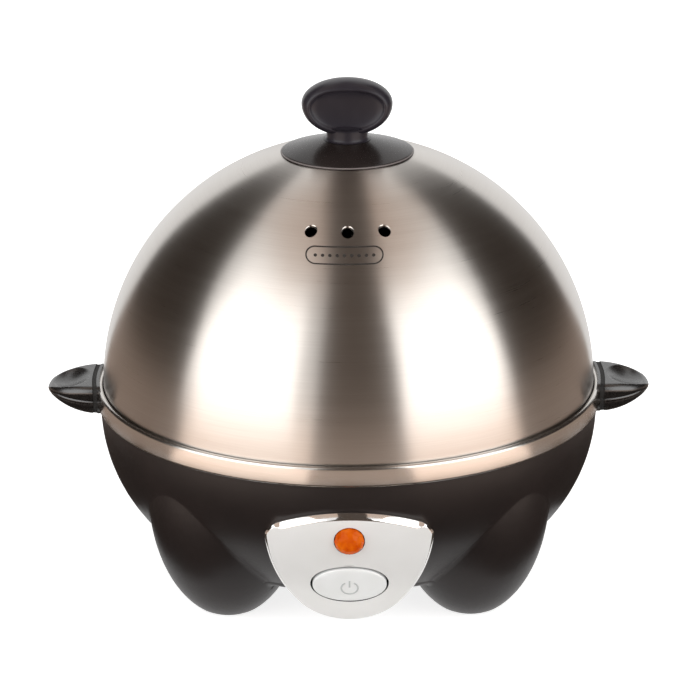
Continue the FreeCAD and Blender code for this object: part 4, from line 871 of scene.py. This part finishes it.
def makeMark(s):
    verts, faces = [], []
    height, steps = s["halfHeight"], 24
    bend = height / s["squash"]
    straight = s["halfWidth"] - bend
    outline = [(straight, -math.pi / 2 + math.pi * i / steps) for i in range(steps + 1)]
    outline += [(straight * (1 - i / 10), math.pi / 2) for i in range(1, 20)]
    outline += [(-straight, math.pi / 2 + math.pi * i / steps) for i in range(steps + 1)]
    outline += [(-straight * (1 - i / 10), -math.pi / 2) for i in range(1, 20)]
    for shift, turn in outline:
        for radius in (bend - s["line"], bend + s["line"]):
            x = s["aside"] + shift + radius * math.cos(turn)
            z = s["middle"] + radius * math.sin(turn) * height / bend
            verts.append(onBall(x, z, s["lift"]))
    count = len(outline)
    for i in range(count):
        k = (i + 1) % count
        faces.append((2 * i, 2 * i + 1, 2 * k + 1, 2 * k))
    for i in range(s["dots"]):
        x0 = s["aside"] + straight * (2 * i / (s["dots"] - 1) - 1)
        first = len(verts)
        for j in range(16):
            turn = math.tau * j / 16
            x = x0 + s["dotRadius"] * math.cos(turn)
            z = s["middle"] + s["dotRadius"] * math.sin(turn) * s["squash"]
            verts.append(onBall(x, z, s["lift"]))
        faces.append(tuple(range(first, first + 16)))
    piece = makePiece("etchedMark", verts, faces, etchedSteel)
    fit(piece, "lid", "brushed_steel")


makeMark(mark)
print("dome: made")


disc = {
    "radius": 21.6,
    "bore": 2.9,
    "gap": 0.1,
    "edge": 0.3,
    "chamfer": (0.4, 0.3),
    "slope": ((13.6, 145.0), (6.8, 146.8)),  # radius and height, halfway up and at the neck
}


def makeDisc(s):
    def ballTop(radius):
        return dome["centre"] + math.sqrt((dome["radius"] + s["gap"]) ** 2 - radius * radius)

    under = [(r, ballTop(r)) for r in (s["bore"], 8.0, 13.0, 18.0)]
    rim = s["radius"]
    crown = ballTop(rim) + s["edge"]
    brow = (rim - s["chamfer"][0], crown + s["chamfer"][1])
    middle, neck = s["slope"]
    outline = under + [(rim, ballTop(rim)), (rim, crown)]
    outline += [tuple(point) for point in arcThrough(brow, middle, neck, 24)]
    outline += [neck, (s["bore"], neck[1])]
    verts, faces = spin(outline, 192)
    piece = makePiece("knobDisc", verts, faces, discPlastic, 30)
    piece.data.materials.append(discEdgeHighlight)
    # the chamfer's faces get the painted highlight
    for polygon in piece.data.polygons:
        x, y, z = polygon.center / mm
        if crown + 0.02 < z < brow[1] - 0.02 and math.hypot(x, y) > brow[0]:
            polygon.material_index = 1
    fit(piece, "lid", "glossy_black", "knob_escutcheon")


makeDisc(disc)

knob = {
    "foot": 146.7,
    "neckTop": 150.6,
    "middle": 158.4,
    "top": 166.65,
    "halfWidth": 14.7,
    "drop": 10.4,
    "heartDrop": 0.9,  # the rings close in on a point this far under the widest line
    # The edge and the lip: how far in from the outline and how far forward each ring lies, in mm
    "edge": [
        (0.0, 0.0), (0.05, 1.2), (0.2, 2.4), (0.5, 3.6), (0.95, 4.6), (1.5, 5.35), (2.0, 5.75),
        (2.35, 5.85), (2.65, 5.75), (2.95, 5.4), (3.3, 5.0), (3.8, 4.75),
    ],
    # The dish inside the lip: share of the lip's last ring, and how far forward
    "dish": [(0.85, 4.5), (0.65, 4.25), (0.45, 4.1), (0.25, 4.03), (0.08, 4.0)],
    "neckRadius": 6.7,
    "flareRadius": 7.7,
    "flareHeight": 1.0,
    "shoulder": (0.9, 1.4),  # how far the neck spreads under the paddle, and over which height
    "shoulderDrop": 0.6,
    "core": 0.4,
}


def makeKnob(s):
    # The paddle is an egg-shaped oval, a little longer below its widest line than above
    outline = []
    for i in range(160):
        turn = math.tau * i / 160
        rise = s["top"] - s["middle"] if math.sin(turn) > 0 else s["drop"]
        outline.append(Vector((s["halfWidth"] * math.cos(turn), s["middle"] + rise * math.sin(turn))))
    heart = Vector((0, s["middle"] - s["heartDrop"]))
    rings = []
    for inset, forward in s["edge"]:
        ring = []
        for point in outline:
            away = point - heart
            ring.append((heart + away * max(0.05, 1 - inset / away.length), forward))
        rings.append(ring)
    last = [point for point, forward in rings[-1]]
    for share, forward in s["dish"]:
        rings.append([(heart + (point - heart) * share, forward) for point in last])
    front = [[(point.x, -forward, point.y) for point, forward in ring] for ring in rings]
    back = [[(point.x, forward, point.y) for point, forward in ring] for ring in reversed(rings[1:])]
    flare = s["flareRadius"] - s["neckRadius"]
    neck = [(s["core"], s["foot"])]
    for i in range(9):
        turn = math.pi / 2 * i / 8
        radius = s["flareRadius"] - flare * math.sin(turn)
        neck.append((radius, s["foot"] + s["flareHeight"] * (1 - math.cos(turn))))
    spread, climb = s["shoulder"]
    start = s["neckTop"] - s["shoulderDrop"]
    neck.append((s["neckRadius"], start))
    for i in range(1, 7):
        turn = math.pi / 2 * i / 6
        neck.append((s["neckRadius"] + spread * (1 - math.cos(turn)), start + climb * math.sin(turn)))
    neck.append((s["core"], s["neckTop"] + 2))
    verts, faces = joined([loft(back + front), spin(neck, 96)])
    piece = makePiece("knobPaddle", verts, faces, knobPlastic, 50)
    fit(piece, "lid", "glossy_black", "lid_knob")


makeKnob(knob)
print("knob: made")


band = {
    "inner": 70.0,
    "ledgeBottom": 61.4,
    "ledgeTop": 62.2,
    "lip": 81.6,
    "outer": 82.3,
    "bottom": 58.8,
    "top": 64.2,
    "shade": 81.5,  # out to this radius the ledge beside the lid is painted near black: painted shade in the gap
}


def makeBand(s):
    corners = [
        (s["inner"], s["ledgeBottom"], 0.3),
        (s["lip"], s["ledgeBottom"], 0),
        (s["lip"], s["bottom"], 0.3),
        (s["outer"], s["bottom"], 0.3),
        (s["outer"], s["top"], 0.3),
        (s["lip"], s["top"], 0.3),
        (s["lip"], s["ledgeTop"], 0.3),
        (s["inner"], s["ledgeTop"], 0.3),
    ]
    verts, faces = spin(rounded(corners, 6), 256)
    piece = makePiece("steelBand", verts, faces, bandSteel, 40)
    piece.data.materials.append(gapShadeSteel)
    # the ledge between the lid's foot and the lip gets the painted shade
    for polygon in piece.data.polygons:
        x, y, z = polygon.center / mm
        if dome["radius"] - 0.3 < math.hypot(x, y) < s["shade"] and z > s["ledgeTop"] - 0.1:
            polygon.material_index = 1
    fit(piece, "base", "brushed_steel", "rim_band")


makeBand(band)
print("band: made")


handle = {
    "root": 82.4,
    "rootBelow": 81.9,  # under the band the root reaches in to the bowl
    "bandFoot": 58.7,
    "tip": 99.5,
    "halfWidth": 12.9,
    "top": (65.8, 62.8),     # at the root and at the tip
    "waist": (60.3, 61.8),
    "bottom": (53.6, 61.6),
    "corner": 2.1,
    "lean": 0.9,             # how far the wall draws in from its top to the waist
    "bead": (0.22, 0.9),     # how far the bead on the waist stands out, and its height
    "dishMiddle": 91.6,
    "dishHalf": (5.9, 8.9),
    "dishDepth": 1.9,
    "groove": (83.3, 84.7, 0.2),  # from, to and depth
    "topFall": 2.2,          # powers of the run that bend the top and the keel towards the tip
    "keelFall": 0.85,
    "tipRound": (0.9, 0.1),  # from which share of the run the tip rounds off, and over how much
}


def handleSection(s, half, top, waist, bottom):
    # Half of the outline across the handle, from the top's middle round to the keel
    corner = min(s["corner"], half / 2, (top - waist) / 2)
    points = [((half - corner) * i / 24, top) for i in range(24)]
    for i in range(9):
        turn = math.pi / 2 * i / 8
        points.append((half - corner + corner * math.sin(turn), top - corner + corner * math.cos(turn)))
    size = min(1, half / s["halfWidth"] * 1.5)
    out, height = s["bead"][0] * size, s["bead"][1] * size
    lean = s["lean"] * size
    low = waist + height / 2
    for i in range(1, 4):
        points.append((half - lean * i / 4, top - corner + (low - top + corner) * i / 4))
    for i in range(7):
        turn = math.pi * i / 6
        points.append((half - lean + out * math.sin(turn), low - height * i / 6))
    keel = waist - height / 2
    for i in range(1, 25):
        turn = math.pi / 2 * i / 24
        points.append(((half - lean) * math.cos(turn), keel - max(keel - bottom, 0.02) * math.sin(turn)))
    return points


def makeHandle(s, name, node, side):
    length = s["tip"] - s["root"]
    first, last, depth = s["groove"]
    places = [s["root"], s["root"] + 0.15, (s["root"] + first) / 2, first - 0.08, first, first + 0.06]
    grooveStart = len(places)
    places += [last - 0.06, last, last + 0.08]
    steps = 60
    for i in range(1, steps + 1):
        share = 1 - (1 - i / steps) ** 1.6
        places.append(last + 0.08 + (s["tip"] - last - 0.08) * min(share, 0.9995))
    rings = []
    for index, x in enumerate(places):
        run = (x - s["root"]) / length
        shut = depth if index in (grooveStart - 1, grooveStart) else 0
        half = s["halfWidth"] * math.sqrt(max(1 - run * run, 0.0004)) - shut
        top = s["top"][0] + (s["top"][1] - s["top"][0]) * run ** s["topFall"] - shut
        waist = s["waist"][0] + (s["waist"][1] - s["waist"][0]) * run * run
        belly = max(1 - run * run, 0) ** s["keelFall"]
        bottom = s["bottom"][1] - (s["bottom"][1] - s["bottom"][0]) * belly + shut
        # the tip rounds off towards its waist
        begin, over = s["tipRound"]
        close = math.sqrt(max(1 - max(run - begin, 0) ** 2 / over ** 2, 0.0009))
        top = waist + (top - waist) * close
        halfRing = handleSection(s, half, top, waist, min(bottom, waist - 0.1 * close))
        ring = []
        for y, z in halfRing + [(-y, z) for y, z in reversed(halfRing[1:-1])]:
            if z > top - 0.01:
                away = math.hypot((x - s["dishMiddle"]) / s["dishHalf"][0], y / s["dishHalf"][1])
                z -= s["dishDepth"] * max(1 - away * away, 0)
            sag = s["root"] - math.sqrt(s["root"] ** 2 - y * y)
            inward = s["root"] - s["rootBelow"] if index == 0 and z < s["bandFoot"] else 0
            ring.append((x - inward - sag * (1 - run) ** 2, y, z))
        rings.append(ring)
    verts, faces = loft(rings)
    verts = [(side * x, side * y, z) for x, y, z in verts]
    piece = makePiece(name, verts, faces, glossPlastic, 32)
    piece.data.materials.append(padRubber)
    count = len(rings[0])
    paintFaces(piece, faces[(grooveStart - 2) * count : (grooveStart + 1) * count], 1)
    fit(piece, "base", "glossy_black", node)


makeHandle(handle, "rightHandle", "handle_right", 1)
makeHandle(handle, "leftHandle", "handle_left", -1)
print("handles: made")


panel = {
    "arcReach": 7.5,
    "arc": 76.9,
    "arcHeight": 52.8,
    "top": 49.9,
    "bottom": 7.9,
    "shoulder": (21.5, 45.78),
    "corner": (24.9, 43.9),
    "widest": (26.45, 41.3),
    "waist": (22.85, 26.72),
    "chin": (16.1, 15.71),
    "heart": (0.0, 31.0),
    "depth": 10.0,
    "wall": 2.2,
    "topBevel": (2.0, 1.7),   # inset and drop of the bright edge along the top, in mm
    "sideBevel": (0.7, 0.6),
    # The bright edge from a rounded nose down a flat slope to a rounded shoulder, in shares of the
    # bevel's inset and drop
    "slope": [
        (0.0, 1.12), (0.03, 1.0), (0.1, 0.9), (0.3, 0.67), (0.55, 0.39), (0.8, 0.12), (0.9, 0.04), (1.0, 0.0),
    ],
    "noseDrop": 1.35,
    "faceInset": 1.12,
    "faceShares": (0.94, 0.86, 0.76, 0.64, 0.5, 0.36, 0.22, 0.1),
    "backShares": (0.1, 0.4, 0.7, 0.95),
    "skirtInset": 1.8,
    "buttonHeight": 23.8,
    "buttonHalf": (11.85, 7.35),
    "buttonGap": 0.45,
    "lampHeight": 40.6,
    "lensRadius": 4.7,
    "lensGap": 0.15,
}


def faceReach(z, shift=0.0):
    # Radius of the panel's face round the axis at a height
    arc = panel["arc"] + shift
    return panel["arcReach"] + math.sqrt(arc * arc - (z - panel["arcHeight"]) ** 2)


def onFace(x, z, shift=0.0):
    reach = faceReach(z, shift)
    return (x, -math.sqrt(max(reach * reach - x * x, 0)), z)


def faceFrame(height):
    # Place, outward way and upward way of the face at a height on its middle line
    tilt = math.asin((panel["arcHeight"] - height) / panel["arc"])
    place = Vector((0, -faceReach(height), height))
    out = Vector((0, -math.cos(tilt), -math.sin(tilt)))
    up = Vector((0, -math.sin(tilt), math.cos(tilt)))
    return place, out, up


def panelOutline(s):
    def mirrored(point):
        return (-point[0], point[1])

    sh, co, wi, wa, ch = s["shoulder"], s["corner"], s["widest"], s["waist"], s["chin"]
    return (
        arcThrough(sh, (0, s["top"]), mirrored(sh), 56)
        + arcThrough(mirrored(sh), mirrored(co), mirrored(wi), 14)
        + arcThrough(mirrored(wi), mirrored(wa), mirrored(ch), 40)
        + arcThrough(mirrored(ch), (0, s["bottom"]), ch, 48)
        + arcThrough(ch, wa, wi, 40)
        + arcThrough(wi, co, sh, 14)
    )


def insetOutline(outline, insets):
    # Moves each point of the outline inwards by its own amount
    count = len(outline)
    moved = []
    for i, (point, inset) in enumerate(zip(outline, insets)):
        along = (outline[(i + 2) % count] - outline[i - 2]).normalized()
        inward = Vector((-along.y, along.x))
        moved.append(point + inward * inset)
    return moved


def oval(halfWidth, halfHeight, count, power=2.05):
    points = []
    for i in range(count):
        turn = math.tau * i / count
        c, n = math.cos(turn), math.sin(turn)
        x = halfWidth * math.copysign(abs(c) ** (2 / power), c)
        y = halfHeight * math.copysign(abs(n) ** (2 / power), n)
        points.append((x, y))
    return points


def prism(height, outline, low, high):
    # A tool square to the panel's face at a height
    place, out, up = faceFrame(height)
    across = Vector((1, 0, 0))
    rings = [[place + across * x + up * y + out * level for x, y in outline] for level in (low, high)]
    return loft([[tuple(point) for point in ring] for ring in rings])


def makePanel(s):
    outline = panelOutline(s)
    heart = Vector(s["heart"])
    # The bright edge is wide along the top and narrow down the sides
    insets, drops = [], []
    for point in outline:
        share = between(point.y, s["shoulder"][1] - 1.2, s["shoulder"][1] + 0.2)
        insets.append(s["sideBevel"][0] + (s["topBevel"][0] - s["sideBevel"][0]) * share)
        drops.append(s["sideBevel"][1] + (s["topBevel"][1] - s["sideBevel"][1]) * share)

    def edgeRing(inward, down):
        moved = insetOutline(outline, [inset * inward for inset in insets])
        return [onFace(p.x, p.y, -drop * down) for p, drop in zip(moved, drops)]

    side = [[onFace(p.x, p.y, -s["depth"]) for p in outline], edgeRing(0, s["noseDrop"])]
    edge = [edgeRing(inward, down) for inward, down in s["slope"]]
    front = [edgeRing(s["faceInset"], 0.0)]
    inner = insetOutline(outline, [inset * s["faceInset"] for inset in insets])
    for share in s["faceShares"]:
        front.append([onFace(*(heart + (p - heart) * share)) for p in inner])
    skirt = insetOutline(outline, [s["skirtInset"]] * len(outline))
    back = []
    for share in s["backShares"]:
        back.append([onFace(*(heart + (p - heart) * share), -s["wall"]) for p in skirt])
    back.append([onFace(p.x, p.y, -s["wall"]) for p in skirt])
    back.append([onFace(p.x, p.y, -s["depth"]) for p in skirt])
    verts, faces = loft(back + side + edge + front)
    piece = makePiece("chromePanel", verts, faces, plateChrome, 40)
    # the dark nylon is painted shade for the holes' walls
    for material in (edgeChrome, fibreNylon):
        piece.data.materials.append(material)
    # faces of the edge and of the side wall: loft makes them ring by ring, in this order
    count = len(outline)
    first = (len(back) - 1) * count
    last = (len(back + side + edge) - 1) * count
    paintFaces(piece, faces[first:last], 1)
    half = [length + s["buttonGap"] for length in s["buttonHalf"]]
    hole = s["lensRadius"] + s["lensGap"]
    holes = [(s["buttonHeight"], half), (s["lampHeight"], (hole, hole))]
    carve(piece, [prism(height, oval(*size, 96), -5, 5) for height, size in holes])

    def skin(place):
        flat = Vector((place.x, place.y))
        rise = place.z - s["arcHeight"]
        run = flat.length - s["arcReach"]
        if abs(math.hypot(run, rise) - s["arc"]) > 0.02:
            return None
        level = flat.normalized() * run / s["arc"]
        return Vector((level.x, level.y, rise / s["arc"]))

    trueNormals(piece, skin)
    # the holes' walls get the dark nylon: painted shade, so that each piece in them has a dark line round it
    for polygon in piece.data.polygons:
        for height, (w, h) in holes:
            place, out, up = faceFrame(height)
            spot = polygon.center / mm - place
            away = math.hypot(spot.x / w, spot.dot(up) / h)
            if abs(away - 1) < 0.06 and abs(polygon.normal.dot(out)) < 0.3:
                polygon.material_index = 2
    fit(piece, "base", "panel_chrome", "control_panel")


makePanel(panel)
print("panel: made")

button = {
    "half": (11.6, 7.1),
    "rise": 0.4,
    "root": 2.9,    # how far the sides reach in under the crown
    "roll": 0.72,   # depth of the rolled edge
    "bulge": 0.28,
    # Shares of the outline at which the crown has a ring, close together over the rolled edge
    "shares": [
        1.0, 0.9985, 0.995, 0.99, 0.98, 0.965, 0.945, 0.92, 0.88, 0.82, 0.74, 0.64, 0.52, 0.4, 0.28,
        0.16, 0.06,
    ],
    "signRadius": 2.6,
    "signDrop": -0.6,
    "signGap": 32,  # half of the ring's opening, in degrees
    "signBar": (0.15, 0.5, 0.85, 1.2),
    "wire": (0.3, 0.2),  # half width and half height of the sign's line
    "sink": 0.04,
}


def makeButton(s):
    place, out, up = faceFrame(panel["buttonHeight"])
    across = Vector((1, 0, 0))
    w, h = s["half"]
    crown = s["rise"]
    around = oval(w, h, 128)
    rings = [[(x, y, crown - s["root"]) for x, y in around]]
    rings.append([(x, y, crown - s["roll"] - 0.1) for x, y in around])
    for share in s["shares"]:
        # the pillow: nearly flat in the middle, rolled over at its edge
        level = crown - s["roll"] * (1 - math.sqrt(max(1 - share ** 8, 0)))
        level += s["bulge"] * (1 - share * share)
        rings.append([(x * share, y * share, level) for x, y in around])
    placed = [[tuple(place + across * x + up * y + out * z) for x, y, z in ring] for ring in rings]
    verts, faces = loft(placed)
    piece = makePiece("powerButton", verts, faces, buttonPaint, 50)
    fit(piece, "button", "button_silver", "power_button")
    # standby sign, raised in the same moulding: an open ring with a bar
    ring = []
    for i in range(41):
        turn = math.radians(90 + s["signGap"] + (360 - 2 * s["signGap"]) * i / 40)
        ring.append((s["signRadius"] * math.cos(turn), s["signDrop"] + s["signRadius"] * math.sin(turn)))
    bar = [(0, s["signDrop"] + s["signRadius"] * share) for share in s["signBar"]]
    forms = []
    for path in (ring, bar):
        sections = []
        for i, (x, y) in enumerate(path):
            before, after = path[max(i - 1, 0)], path[min(i + 1, len(path) - 1)]
            along = Vector((after[0] - before[0], after[1] - before[1])).normalized()
            beside = Vector((-along.y, along.x))
            share = math.hypot(x / w, y / h)
            ground = crown + s["bulge"] * (1 - share * share)
            section = []
            for j in range(10):
                turn = math.tau * j / 10
                swing = s["wire"][0] * math.cos(turn)
                lift = s["wire"][1] * math.sin(turn)
                spot = place + across * (x + beside.x * swing) + up * (y + beside.y * swing)
                section.append(tuple(spot + out * (ground + lift - s["sink"])))
            sections.append(section)
        forms.append(loft(sections))
    sign = makePiece("buttonSign", *joined(forms), signPaint, 50)
    fit(sign, "button", "button_silver")


makeButton(button)

lens = {
    "root": -2.0,
    "rise": 0.3,
    "crown": 2.4,
    # The cut face: share of the radius, share of the crown, and how far each ring is turned
    "facets": [(0.8, 0.55, 0.5), (0.52, 0.86, 0), (0.24, 0.97, 0.5)],
}


def makeLens(s):
    place, out, up = faceFrame(panel["lampHeight"])
    across = Vector((1, 0, 0))

    def ringAt(radius, level, shift):
        ring = []
        for i in range(12):
            turn = math.tau * (i + shift) / 12
            spot = place + across * radius * math.cos(turn) + up * radius * math.sin(turn)
            ring.append(tuple(spot + out * level))
        return ring

    r, rise = panel["lensRadius"], s["rise"]
    rings = [ringAt(r, s["root"], 0), ringAt(r, rise - 0.1, 0), ringAt(r * 0.97, rise + 0.1, 0)]
    for share, height, shift in s["facets"]:
        rings.append(ringAt(r * share, rise + s["crown"] * height, shift))
    verts, faces = loft(rings)
    piece = makePiece("lampLens", verts, faces, amberAcrylic, 1)
    fit(piece, "base", "amber_lens", "indicator_lens")


makeLens(lens)
print("button and lamp: made")
